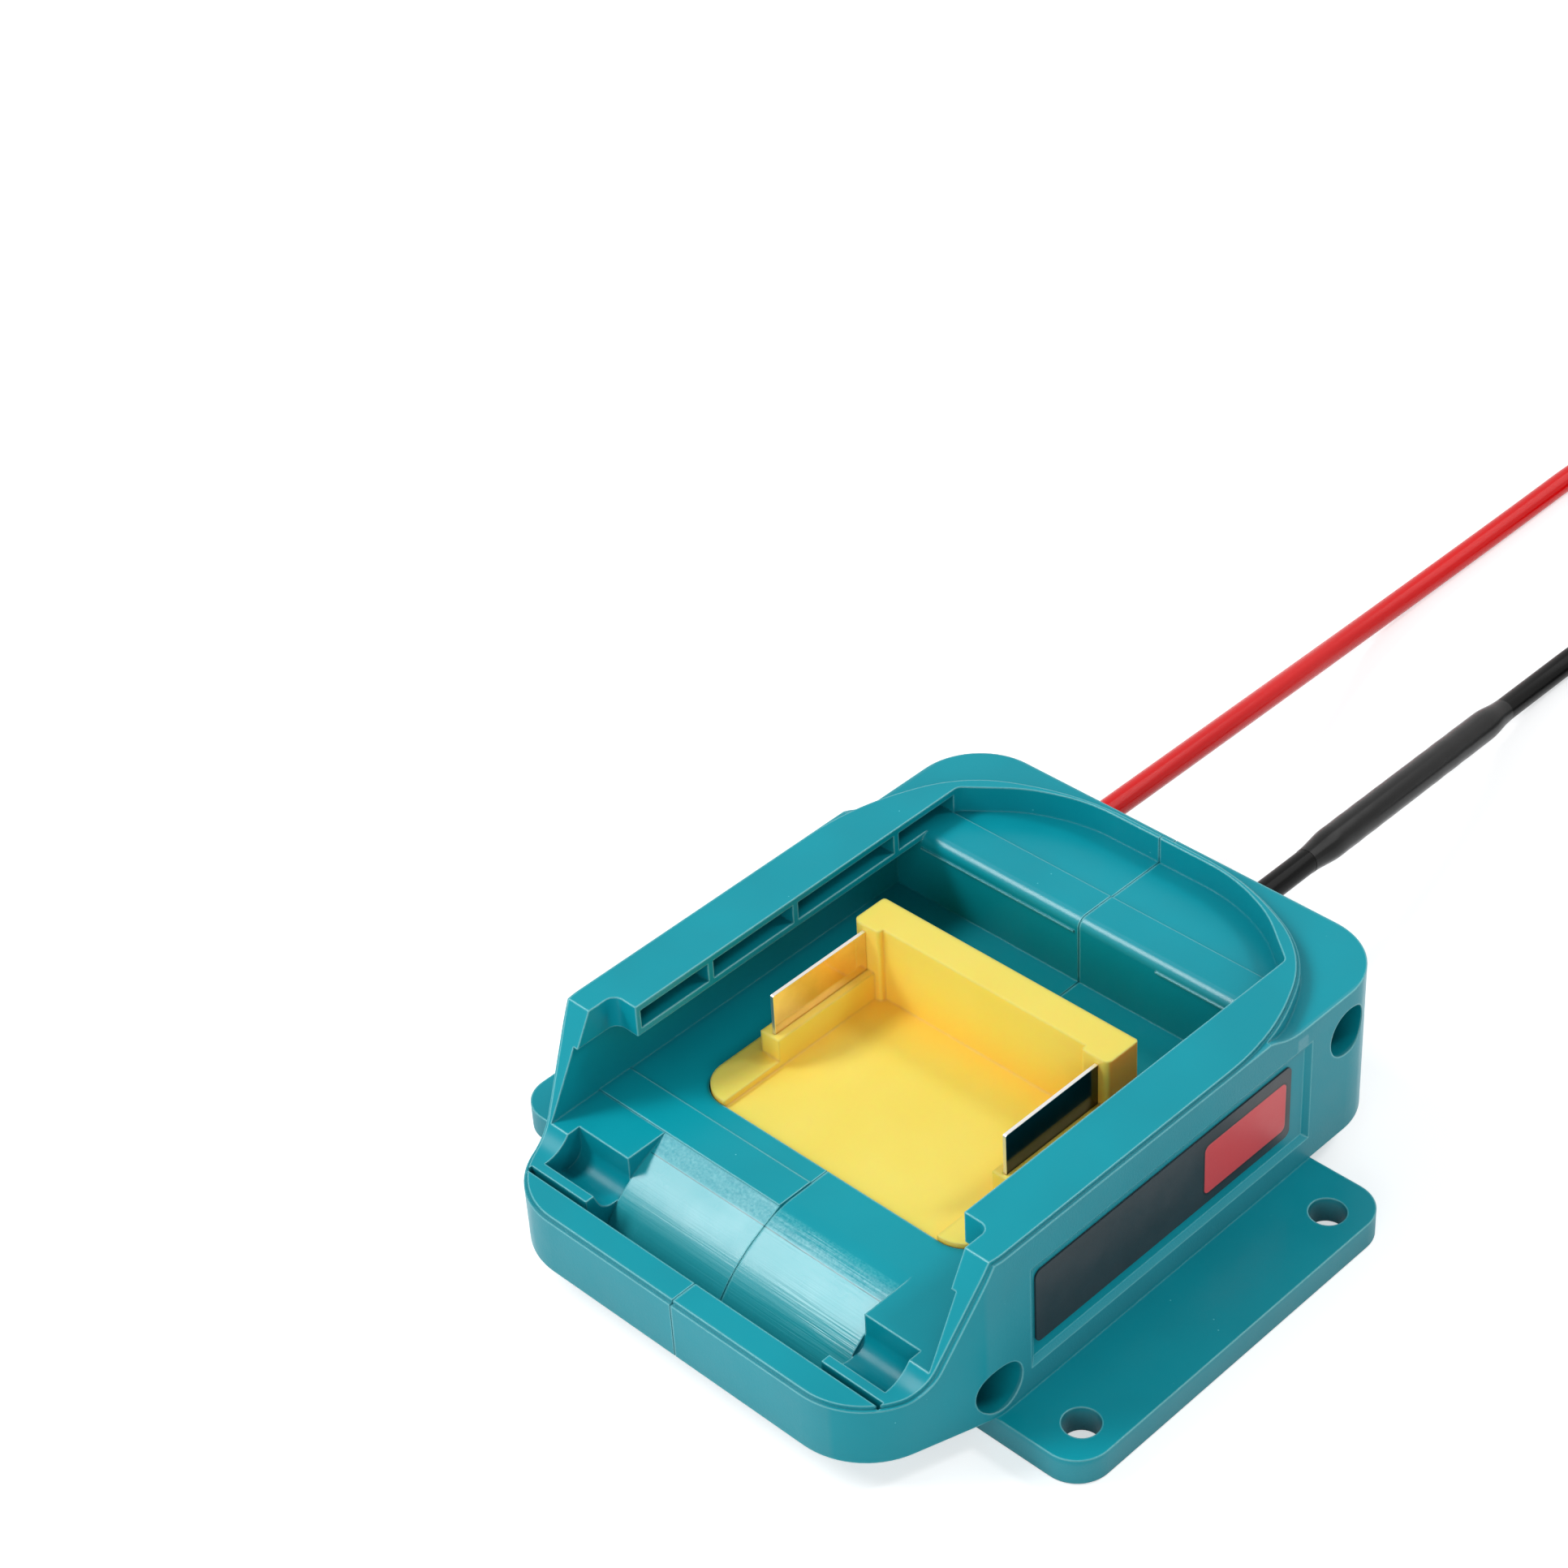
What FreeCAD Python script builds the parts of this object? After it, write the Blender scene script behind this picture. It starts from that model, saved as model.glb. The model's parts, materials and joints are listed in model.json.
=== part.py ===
import FreeCAD, Part
import math
import os
import Sketcher

# Slide-on battery adapter with two free wires.
# Millimetres, +Z up with the battery cavity opening upwards, z = 0 at the underside
# of the mounting plate, +Y towards the wires, +X towards the side of the black wire.

SIZES = {
    # body
    "body_length": 97.4,
    "body_width": 74.0,
    "body_height": 30.0,
    "seam_gap": 0.2,
    "front_corner_radius": 11.5,
    "rear_corner_radius": 10.0,
    "taper_length": 19.1,
    "taper_inset": 6.4,
    "taper_radius": 12.0,
    # bevel round the underside
    "bevel_height": 4.0,
    "bevel_front_run": 7.2,
    "bevel_side_run": 6.4,
    "bevel_rear_run": 3.8,
    "bevel_taper_inset": 4.7,
    "bevel_front_radius": 7.5,
    "bevel_rear_radius": 7.5,
    # mounting flanges
    "flange_span": 100.6,
    "flange_thickness": 4.0,
    "flange_length": 61.4,
    "flange_corner": 5.0,
    "flange_from_front": 18.7,
    "bolt_hole": 5.0,
    "bolt_from_flange_side": 5.3,
    "bolt_from_flange_front": 6.3,
    "bolt_from_flange_rear": 6.6,
    # front lip and the slope behind it
    "lip_height": 13.3,
    "lip_width": 4.4,
    "slope_foot": 9.95,
    "slope_top": 18.7,
    "slope_fillet": 5.0,
    # narrow step round the outer rim
    "rim_step_width": 0.5,
    "rim_step_depth": 0.5,
    # ledge and raised ring at the rear
    "ledge_height": 27.5,
    "ledge_start": 27.2,
    "ledge_end": 22.2,
    "ledge_blend": 11.0,
    "ring_side_set": 25.3,
    "ring_corner_set": 9.5,
    "ring_corner_inset": 7.1,
    "ring_rear_set": 2.5,
    "ring_rear_inset": 22.65,
    "ring_side_radius": 40.0,
    "ring_corner_radius": 20.0,
    "ring_rear_radius": 37.0,
    "bay_corner_set": 12.7,
    "bay_bend_inset": 16.0,
    "bay_bend_set": 6.9,
    "bay_rear_inset": 24.0,
    "bay_rear_set": 3.6,
    "bay_corner_radius": 1.5,
    "bay_bend_radius": 20.0,
    "bay_rear_radius": 25.0,
    # cavity, shelf and rails
    "floor_height": 15.4,
    "floor_skin": 2.0,
    "shelf_height": 26.1,
    "shelf_depth": 20.3,
    "shelf_round": 1.5,
    "shelf_step_ahead": 0.9,
    "shelf_step": 0.25,
    "shelf_line_red_drop": 2.1,
    "shelf_line_black_drop": 1.5,
    "shelf_line_height": 0.3,
    "shelf_line_depth": 0.2,
    "shelf_line_red_start": 0.8,
    "shelf_line_black_start": 13.2,
    "floor_band_rear": 25.2,
    "floor_band_height": 0.15,
    "cavity_width": 66.4,
    "notch_width": 64.9,
    "rail_gap": 56.8,
    "rail_underside": 25.1,
    "rail_from_front": 23.1,
    "notch_round": 1.5,
    "rail_pocket_low": 26.1,
    "rail_pocket_high": 29.0,
    "rail_pocket_depth": 3.0,
    "rail_rib": 1.0,
    "rail_pocket_end": 0.8,
    "rail_pocket_first": 12.2,
    "rail_pocket_second": 14.9,
    "rail_pocket_last": 4.4,
    # ramp behind the lip
    "ramp_width": 41.6,
    "ramp_top": 19.6,
    "ramp_crest_radius": 9.0,
    "ramp_crest_end": 23.0,
    "ramp_line_set": 16.9,
    "ramp_line_height": 14.15,
    "ramp_bend_set": 11.5,
    "ramp_bend_height": 11.46,
    "ramp_bend_radius": 19.0,
    "ramp_foot_set": 6.55,
    "ramp_foot_height": 5.0,
    # small end troughs and thin slots
    "trough_end": 60.0,
    "trough_rear_set": 13.0,
    "trough_front_set": 6.2,
    "trough_bend_set": 8.1,
    "trough_bottom": 9.9,
    "trough_rear_round": 2.6,
    "trough_front_round": 2.9,
    "slot_end": 62.0,
    "slot_width": 0.9,
    "slot_depth": 3.8,
    # hollow inside
    "plate_skin": 2.5,
    "side_skin": 2.4,
    "front_solid": 19.2,
    "rear_skin": 2.5,
    "hollow_rear_base": 6.0,
    "shelf_wall": 2.0,
    "hollow_corner": 7.6,
    # recesses for the side labels
    "recess_depth": 0.6,
    "recess_slope": 1.0,
    "recess_behind": 3.8,
    "recess_ahead": 1.3,
    "recess_below": 3.0,
    "recess_above": 1.8,
    "label_thickness": 0.25,
    "label_round": 1.0,
    "label_low": 10.8,
    "voltage_label_rear_set": 21.6,
    "voltage_label_length": 49.4,
    "voltage_label_tall": 11.9,
    "icon_label_rear_set": 22.0,
    "icon_label_length": 50.1,
    "icon_label_tall": 11.2,
    # housing screws
    "screw_bore_radius": 3.7,
    "screw_boss_radius": 4.6,
    "shank_boss_radius": 3.4,
    "screw_seat": 14.0,
    "screw_seat_skin": 2.5,
    "screw_shank_radius": 1.45,
    "screw_head_radius": 2.8,
    "screw_head_height": 2.2,
    "screw_reach": 9.0,
    "screw_socket": 12.0,
    "screw_clearance": 0.1,
    "front_screw_set": 19.8,
    "front_screw_height": 8.4,
    "rear_screw_set": 10.2,
    "rear_screw_height": 21.1,
    "cross_slot_width": 0.7,
    "cross_slot_length": 3.0,
    "cross_slot_depth": 1.2,
    # terminal block
    "block_width": 48.3,
    "block_front": 28.35,
    "block_length": 35.0,
    "block_corner": 4.85,
    "block_clearance": 0.15,
    "block_base": 11.4,
    "block_floor": 15.0,
    "block_edge_height": 16.0,
    "block_inner_width": 37.4,
    "block_flange_reach": 1.6,
    "block_flange_thickness": 1.85,
    "rib_width": 44.0,
    "rib_height": 19.5,
    "rib_front": 38.7,
    "wall_width": 44.2,
    "wall_height": 27.0,
    "wall_thickness": 5.1,
    "wall_from_rear": 0.35,
    "wall_return": 6.0,
    "wall_return_thickness": 4.5,
    "wall_rear_round": 0.5,
    "wall_front_round": 0.9,
    # contact blades
    "blade_spacing": 40.4,
    "blade_thickness": 0.5,
    "blade_front": 39.4,
    "blade_top": 26.0,
    "blade_corner": 0.3,
    "blade_shoulder": 12.4,
    "blade_slot_clearance": 0.05,
    "tail_from_blade_end": 6.45,
    "tail_width": 6.0,
    "tail_end": 5.5,
    # rests under the terminal block
    "rest_clearance": 0.05,
    "rest_thickness": 2.0,
    "front_rest_set": 33.7,
    "front_rest_inner": 2.0,
    "front_rest_outer": 25.0,
    "side_rest_set": 57.0,
    "side_rest_length": 5.0,
    "side_rest_inner": 22.6,
    "side_rest_outer": 25.2,
    # wires
    "wire_radius": 1.85,
    "conductor_radius": 1.0,
    "sleeve_radius": 2.4,
    "sleeve_end_skin": 0.25,
    "sleeve_taper": 6.0,
    "sleeve_bore_gap": 0.05,
    "wire_hole_gap": 0.1,
    "wire_exit_height": 15.5,
    "red_exit": -21.3,
    "black_exit": 7.1,
    "bare_end": 8.0,
    "inner_bare": 8.0,
    "joint_height": 8.0,
    "solder_radius": 1.9,
    "solder_length": 4.0,
    "solder_film": 0.2,
}

doc = FreeCAD.newDocument("battery_adapter")
sheet = doc.addObject("Spreadsheet::Sheet", "Sizes")
for row, (alias, amount) in enumerate(SIZES.items(), start=1):
    sheet.set("A%d" % row, alias)
    sheet.set("B%d" % row, str(amount))
    sheet.setAlias("B%d" % row, alias)
doc.recompute()


class Size:
    """A length together with the sheet expression that gives it."""

    def __init__(self, number, text):
        self.number = float(number)
        self.text = text

    def __add__(self, other):
        other = as_size(other)
        return Size(self.number + other.number, "(%s + %s)" % (self.text, other.text))

    def __sub__(self, other):
        other = as_size(other)
        return Size(self.number - other.number, "(%s - %s)" % (self.text, other.text))

    def __mul__(self, factor):
        return Size(self.number * factor, "(%s * %s)" % (self.text, factor))

    def __truediv__(self, factor):
        return Size(self.number / factor, "(%s / %s)" % (self.text, factor))

    def __neg__(self):
        return Size(-self.number, "(0 - %s)" % self.text)


def as_size(amount):
    if isinstance(amount, Size):
        return amount
    return Size(amount, "(%s)" % amount)


def size(alias):
    return Size(sheet.get(alias), "Sizes." + alias)


def bind(thing, prop, amount):
    thing.setExpression(prop, as_size(amount).text)


def box(name, low, high):
    block = doc.addObject("Part::Box", name)
    for prop, start, end in zip(("Length", "Width", "Height"), low, high):
        bind(block, prop, as_size(end) - start)
    for axis, start in zip("xyz", low):
        bind(block, "Placement.Base." + axis, start)
    return block


TURNS = {
    "x": FreeCAD.Rotation(FreeCAD.Vector(0, 1, 0), 90),
    "y": FreeCAD.Rotation(FreeCAD.Vector(1, 0, 0), -90),
    "z": FreeCAD.Rotation(),
}


def cylinder(name, axis, start, radius, length):
    rod = doc.addObject("Part::Cylinder", name)
    rod.Placement = FreeCAD.Placement(FreeCAD.Vector(), TURNS[axis])
    bind(rod, "Radius", radius)
    bind(rod, "Height", length)
    for letter, amount in zip("xyz", start):
        bind(rod, "Placement.Base." + letter, amount)
    return rod


def fuse(name, pieces):
    if len(pieces) == 1:
        return pieces[0]
    whole = doc.addObject("Part::MultiFuse", name)
    whole.Shapes = pieces
    return whole


def cut(name, base, tool):
    rest = doc.addObject("Part::Cut", name)
    rest.Base = base
    rest.Tool = tool
    return rest


def common(name, first, second):
    shared = doc.addObject("Part::MultiCommon", name)
    shared.Shapes = [first, second]
    return shared


def named_constraint(sketch, constraint, name, amount):
    index = sketch.addConstraint(constraint)
    sketch.renameConstraint(index, name)
    bind(sketch, "Constraints." + name, amount)


def outline(body, name, role, level, corners):
    """Sketch of a closed outline of straight runs; a corner may have a rounding radius."""
    sketch = body.newObject("Sketcher::SketchObject", name)
    plane = [item for item in body.Origin.OriginFeatures if item.Role == role][0]
    sketch.AttachmentSupport = [(plane, "")]
    sketch.MapMode = "FlatFace"
    bind(sketch, "AttachmentOffset.Base.z", level)
    count = len(corners)
    spots = [FreeCAD.Vector(as_size(c[0]).number, as_size(c[1]).number, 0) for c in corners]
    starts = []
    ends = []
    arcs = []
    for i, spot in enumerate(spots):
        before = spot - spots[i - 1]
        after = spots[(i + 1) % count] - spot
        before.normalize()
        after.normalize()
        if len(corners[i]) < 3:
            starts.append(spot)
            ends.append(spot)
            arcs.append(None)
            continue
        radius = as_size(corners[i][2]).number
        reach = radius * math.tan(before.getAngle(after) / 2)
        side = 1.0 if before.cross(after).z > 0 else -1.0
        normal = FreeCAD.Vector(-before.y, before.x, 0) * side
        first = spot - before * reach
        last = spot + after * reach
        centre = first + normal * radius
        ends.append(first)
        starts.append(last)
        arcs.append((centre, radius, side, first, last))
    lines = []
    for i in range(count):
        segment = Part.LineSegment(starts[i], ends[(i + 1) % count])
        lines.append(sketch.addGeometry(segment, False))
    for i in range(count):
        corner_x = "x%d" % i
        corner_y = "y%d" % i
        into, away = lines[i - 1], lines[i]
        if arcs[i] is None:
            sketch.addConstraint(Sketcher.Constraint("Coincident", into, 2, away, 1))
            spot_at = (away, 1)
        else:
            centre, radius, side, first, last = arcs[i]
            if side < 0:
                first, last = last, first
            angles = []
            for spot in (first, last):
                angles.append(math.atan2(spot.y - centre.y, spot.x - centre.x))
            circle = Part.Circle(centre, FreeCAD.Vector(0, 0, 1), radius)
            arc = sketch.addGeometry(Part.ArcOfCircle(circle, angles[0], angles[1]), False)
            near, far = (1, 2) if side > 0 else (2, 1)
            sketch.addConstraint(Sketcher.Constraint("Tangent", into, 2, arc, near))
            sketch.addConstraint(Sketcher.Constraint("Tangent", away, 1, arc, far))
            mark = sketch.addGeometry(Part.Point(spots[i]), True)
            sketch.addConstraint(Sketcher.Constraint("PointOnObject", mark, 1, into))
            sketch.addConstraint(Sketcher.Constraint("PointOnObject", mark, 1, away))
            rule = Sketcher.Constraint("Radius", arc, radius)
            named_constraint(sketch, rule, "radius%d" % i, corners[i][2])
            spot_at = (mark, 1)
        rule = Sketcher.Constraint("DistanceX", -1, 1, spot_at[0], spot_at[1], spots[i].x)
        named_constraint(sketch, rule, corner_x, corners[i][0])
        rule = Sketcher.Constraint("DistanceY", -1, 1, spot_at[0], spot_at[1], spots[i].y)
        named_constraint(sketch, rule, corner_y, corners[i][1])
    return sketch


def prism(name, role, corners, low, high):
    """Body made by padding one outline from level low to level high."""
    body = doc.addObject("PartDesign::Body", name)
    sketch = outline(body, name + "_outline", role, low, corners)
    pad = body.newObject("PartDesign::Pad", name + "_pad")
    pad.Profile = sketch
    bind(pad, "Length", as_size(high) - low)
    body.Tip = pad
    return body


def mirrored(corners):
    """Corners of the +X side followed by their images on the -X side."""
    images = []
    for corner in reversed(corners):
        images.append((-as_size(corner[0]),) + tuple(corner[1:]))
    return list(corners) + images


def inset(corners, amount):
    """The same rounded outline, listed anticlockwise, moved inwards by amount."""
    count = len(corners)
    spots = [FreeCAD.Vector(as_size(c[0]).number, as_size(c[1]).number, 0) for c in corners]
    moved = []
    for i, spot in enumerate(spots):
        before = spot - spots[i - 1]
        after = spots[(i + 1) % count] - spot
        before.normalize()
        half_turn = math.tan(before.getAngle(after) / 2)
        shift = FreeCAD.Vector(-before.y, before.x, 0) - before * half_turn
        corner = [corners[i][0] + amount * shift.x, corners[i][1] + amount * shift.y]
        if len(corners[i]) > 2:
            corner.append(corners[i][2] - amount)
        moved.append(tuple(corner))
    return moved


def keep(piece, label):
    piece.Label = label
    nodes.append(piece)
    return piece


nodes = []
ABOVE = size("body_height") + 10
OUTSIDE = size("flange_span")
half_width = size("body_width") / 2
front = -size("body_length") / 2
rear = size("body_length") / 2
height = size("body_height")
cavity_half = size("cavity_width") / 2
gap_half = size("rail_gap") / 2

# Outer shape: plan outline, bevelled underside and mounting flanges
blank = doc.addObject("PartDesign::Body", "blank")
plan_corners = mirrored([
    (half_width - size("taper_inset"), front, size("front_corner_radius")),
    (half_width, front + size("taper_length"), size("taper_radius")),
    (half_width, rear, size("rear_corner_radius")),
])
base_half = half_width - size("bevel_side_run")
base_front = front + size("bevel_front_run")
base_corners = mirrored([
    (base_half - size("bevel_taper_inset"), base_front, size("bevel_front_radius")),
    (base_half, front + size("taper_length"), size("taper_radius")),
    (base_half, rear - size("bevel_rear_run"), size("bevel_rear_radius")),
])
plan = outline(blank, "plan", "XY_Plane", size("bevel_height"), plan_corners)
underside = outline(blank, "underside", "XY_Plane", 0, base_corners)
bevel = blank.newObject("PartDesign::AdditiveLoft", "bevel")
bevel.Profile = underside
bevel.Sections = [plan]
bevel.Ruled = True
upper = blank.newObject("PartDesign::Pad", "upper")
upper.Profile = plan
bind(upper, "Length", height - size("bevel_height"))
flange_half = size("flange_span") / 2
flange_front = front + size("flange_from_front")
flange_rear = flange_front + size("flange_length")
flange_sketch = outline(blank, "flange_outline", "XY_Plane", 0, mirrored([
    (flange_half, flange_front, size("flange_corner")),
    (flange_half, flange_rear, size("flange_corner")),
]))
flange = blank.newObject("PartDesign::Pad", "flange")
flange.Profile = flange_sketch
bind(flange, "Length", size("flange_thickness"))
blank.Tip = flange

# Front lip and slope, cut across the whole width
slope_cut = prism("slope_cut", "YZ_Plane", [
    (front - 10, size("lip_height")),
    (front + size("slope_foot"), size("lip_height"), size("slope_fillet")),
    (front + size("slope_top"), height),
    (front + size("slope_top"), ABOVE),
    (front - 10, ABOVE),
], -OUTSIDE, OUTSIDE)

# Ledge outside the raised ring at the rear
ledge_slab = prism("ledge_slab", "YZ_Plane", [
    (rear - size("ledge_start") - size("ledge_blend"), height),
    (rear - size("ledge_start"), height, size("ledge_blend")),
    (rear - size("ledge_end"), size("ledge_height"), size("ledge_blend")),
    (rear + 10, size("ledge_height")),
    (rear + 10, ABOVE),
    (rear - size("ledge_start") - size("ledge_blend"), ABOVE),
], -OUTSIDE, OUTSIDE)
ring_corners = mirrored([
    (half_width, front - 10),
    (half_width, rear - size("ring_side_set"), size("ring_side_radius")),
    (half_width - size("ring_corner_inset"), rear - size("ring_corner_set"),
     size("ring_corner_radius")),
    (half_width - size("ring_rear_inset"), rear - size("ring_rear_set"),
     size("ring_rear_radius")),
])
ring = prism("ring", "XY_Plane", ring_corners, size("rail_underside"), ABOVE + 5)
ledge_cut = cut("ledge_cut", ledge_slab, ring)

# Narrow step between the outer wall and the rim surfaces
step_width = size("rim_step_width")
step_depth = size("rim_step_depth")
slope_rise = (height - size("lip_height")).number
slope_run = (size("slope_top") - size("slope_foot")).number
slope_shift = step_depth * math.tan(math.atan2(slope_rise, slope_run) / 2)
step_slab = prism("step_slab", "YZ_Plane", [
    (front - 8, size("lip_height") - step_depth),
    (front + size("slope_foot") + slope_shift, size("lip_height") - step_depth,
     size("slope_fillet") + step_depth),
    (front + size("slope_top") + slope_shift, height - step_depth),
    (rear + 8, height - step_depth),
    (rear + 8, height + 6),
    (front - 8, height + 6),
], -half_width - 8, half_width + 8)
step_low = size("lip_height") - 3
plan_core = prism("plan_core", "XY_Plane", inset(plan_corners, step_width), step_low,
                  ABOVE + 3)
ring_core = prism("ring_core", "XY_Plane", inset(ring_corners, step_width), step_low - 1,
                  ABOVE + 4)
step_cut = cut("step_cut", step_slab, common("rim_core", plan_core, ring_core))

# Battery cavity: bay above the shelf, well down to the floor, slots under the rails
open_front = front - 10
shelf_front = rear - size("shelf_depth")
floor_top = size("floor_height")
bay_rear_corners = [
    (gap_half, rear - size("bay_corner_set"), size("bay_corner_radius")),
    (half_width - size("bay_bend_inset"), rear - size("bay_bend_set"),
     size("bay_bend_radius")),
    (half_width - size("bay_rear_inset"), rear - size("bay_rear_set"),
     size("bay_rear_radius")),
]
bay = prism("bay", "XY_Plane", mirrored([(gap_half, open_front)] + bay_rear_corners),
            size("shelf_height"), ABOVE)
well = prism("well", "YZ_Plane", [
    (open_front, floor_top),
    (shelf_front, floor_top),
    (shelf_front, size("shelf_height"), size("shelf_round")),
    (shelf_front + size("shelf_round") + 2, size("shelf_height")),
    (shelf_front + size("shelf_round") + 2, size("shelf_height") + 1),
    (open_front, size("shelf_height") + 1),
], -gap_half, gap_half)
side_slots = box("side_slots", (-cavity_half, open_front, floor_top),
                 (cavity_half, shelf_front, size("rail_underside")))
rail_front = front + size("rail_from_front")
notch_half = size("notch_width") / 2
notch = prism("notch", "XY_Plane", mirrored([
    (notch_half, open_front),
    (notch_half, rail_front, size("notch_round")),
]), floor_top, ABOVE)
bay_step_start = rear - size("bay_corner_set") - size("shelf_step_ahead")
bay_step = prism("bay_step", "XY_Plane", mirrored([
    (gap_half, bay_step_start),
] + bay_rear_corners), size("shelf_height") - size("shelf_step"), size("shelf_height") + 1)
cavity_tools = [bay, well, side_slots, notch, bay_step]

# Pockets in the inner faces of the rails, the last one running on over the shelf
pocket_starts = [rail_front + size("rail_pocket_end")]
pocket_ends = []
for alias in ("rail_pocket_first", "rail_pocket_second"):
    pocket_ends.append(pocket_starts[-1] + size(alias))
    pocket_starts.append(pocket_ends[-1] + size("rail_rib"))
pocket_starts.append(shelf_front - size("rail_pocket_last"))
pocket_ends += [pocket_starts[-1] - size("rail_rib"), bay_step_start]
pocket_outer = gap_half + size("rail_pocket_depth")
for index, (start, end) in enumerate(zip(pocket_starts, pocket_ends), start=1):
    cavity_tools.append(box(
        "rail_pockets_%d" % index,
        (-pocket_outer, start, size("rail_pocket_low")),
        (pocket_outer, end, size("rail_pocket_high")),
    ))

# Ramp behind the lip, with the small trough and thin slot at each end
lip_inner = front + size("lip_width")
ramp_half = size("ramp_width") / 2
ramp_start = [
    (lip_inner, size("ramp_foot_height")),
    (front + size("ramp_foot_set"), size("ramp_foot_height")),
    (front + size("ramp_bend_set"), size("ramp_bend_height"), size("ramp_bend_radius")),
    (front + size("ramp_line_set"), size("ramp_line_height")),
]
cavity_tools.append(prism("ramp_red_side", "YZ_Plane", ramp_start + [
    (front + size("ramp_top"), floor_top),
    (front + size("ramp_top"), ABOVE),
    (lip_inner, ABOVE),
], -ramp_half, 0))
crest_end = front + size("ramp_crest_end")
cavity_tools.append(prism("ramp_black_side", "YZ_Plane", ramp_start + [
    (front + size("ramp_top"), floor_top, size("ramp_crest_radius")),
    (crest_end, floor_top),
    (crest_end, ABOVE),
    (lip_inner, ABOVE),
], 0, ramp_half))
trough_corners = [
    (front + size("trough_rear_set"), ABOVE),
    (front + size("trough_front_set"), ABOVE),
    (front + size("trough_front_set"), size("lip_height") + 1.2),
    (front + size("trough_bend_set"), size("trough_bottom"), size("trough_front_round")),
    (front + size("trough_rear_set"), size("trough_bottom"), size("trough_rear_round")),
]
trough_half = size("trough_end") / 2
slot_half = size("slot_end") / 2
cavity_tools.append(prism("trough_red_side", "YZ_Plane", trough_corners,
                          -trough_half, -ramp_half + 0.1))
cavity_tools.append(prism("trough_black_side", "YZ_Plane", trough_corners,
                          ramp_half - 0.1, trough_half))
slot_low = size("lip_height") - size("slot_depth")
cavity_tools.append(box("thin_slots", (-slot_half, lip_inner, slot_low),
                        (slot_half, lip_inner + size("slot_width"), size("lip_height") + 1)))

# Hole in the floor for the terminal block
block_half = size("block_width") / 2
block_front = front + size("block_front")
block_rear = block_front + size("block_length")
fit = size("block_clearance")
floor_under = floor_top - size("floor_skin")
block_hole = prism("block_hole", "XY_Plane", [
    (-block_half - fit, block_front - fit, size("block_corner") + fit),
    (block_half + fit, block_front - fit, size("block_corner") + fit),
    (block_half + fit, block_rear + fit),
    (-block_half - fit, block_rear + fit),
], floor_under - 1, floor_top + 1)
cavity_tools.append(block_hole)

# Hollow inside the two halves
hollow_half = half_width - size("side_skin")
hollow_front = front + size("front_solid")
hollow_mid = shelf_front + size("shelf_wall")
hollow_floor = box("hollow_floor", (-hollow_half, hollow_front, size("plate_skin")),
                   (hollow_half, hollow_mid + 0.5, floor_under))
shelf_under = size("shelf_height") - size("floor_skin")
hollow_rear = rear - size("rear_skin")
hollow_shelf = prism("hollow_shelf", "XY_Plane", mirrored([
    (hollow_half, hollow_mid),
    (hollow_half, hollow_rear, size("hollow_corner")),
]), size("hollow_rear_base"), shelf_under)
cavity_tools += [hollow_floor, hollow_shelf]

# Shallow recesses with sloped borders, each round its side label
label_specs = (
    ("voltage_label", 1, size("voltage_label_rear_set"), size("voltage_label_length"),
     size("voltage_label_tall")),
    ("icon_label", -1, size("icon_label_rear_set"), size("icon_label_length"),
     size("icon_label_tall")),
)
label_low = size("label_low")
recess_bottom = half_width - size("recess_depth")
for name, sign, rear_set, length, tall in label_specs:
    recess = doc.addObject("Part::Wedge", "recess_of_" + name)
    turn = FreeCAD.Rotation(FreeCAD.Vector(0, 0, 1), -90 * sign)
    recess.Placement = FreeCAD.Placement(FreeCAD.Vector(), turn)
    slope = size("recess_slope")
    recess_rear = rear - rear_set + size("recess_behind")
    recess_front = rear - rear_set - length - size("recess_ahead")
    along_start = recess_front if sign < 0 else -recess_rear
    along_end = recess_rear if sign < 0 else -recess_front
    recess_low = label_low - size("recess_below")
    recess_high = label_low + tall + size("recess_above")
    bind(recess, "Ymin", recess_bottom)
    bind(recess, "Ymax", half_width)
    bind(recess, "Xmin", along_start + slope)
    bind(recess, "Xmax", along_end - slope)
    bind(recess, "Zmin", recess_low + slope)
    bind(recess, "Zmax", recess_high - slope)
    bind(recess, "X2min", along_start)
    bind(recess, "X2max", along_end)
    bind(recess, "Z2min", recess_low)
    bind(recess, "Z2max", recess_high)
    cavity_tools.append(recess)

# Bolt holes through the flanges
bolt_across = flange_half - size("bolt_from_flange_side")
bolt_rows = (
    ("front", flange_front + size("bolt_from_flange_front")),
    ("rear", flange_rear - size("bolt_from_flange_rear")),
)
for across in (-1, 1):
    for row_name, along in bolt_rows:
        cavity_tools.append(cylinder(
            "bolt_hole_%s_%s" % (row_name, "black" if across > 0 else "red"), "z",
            (bolt_across * across, along, -1),
            size("bolt_hole") / 2, size("flange_thickness") + 2,
        ))
cavity_tools += [slope_cut, ledge_cut, step_cut]
housing = cut("housing", blank, fuse("housing_cuts", cavity_tools))

# Screw positions shared by both halves
screws = (
    ("front", front + size("front_screw_set"), size("front_screw_height")),
    ("rear", rear - size("rear_screw_set"), size("rear_screw_height")),
)
seam = size("seam_gap") / 2
wire_hole = size("wire_radius") + size("wire_hole_gap")
exit_height = size("wire_exit_height")
rest_top = size("block_base") - size("rest_clearance")
rest_root = size("plate_skin") - 0.5

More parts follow.
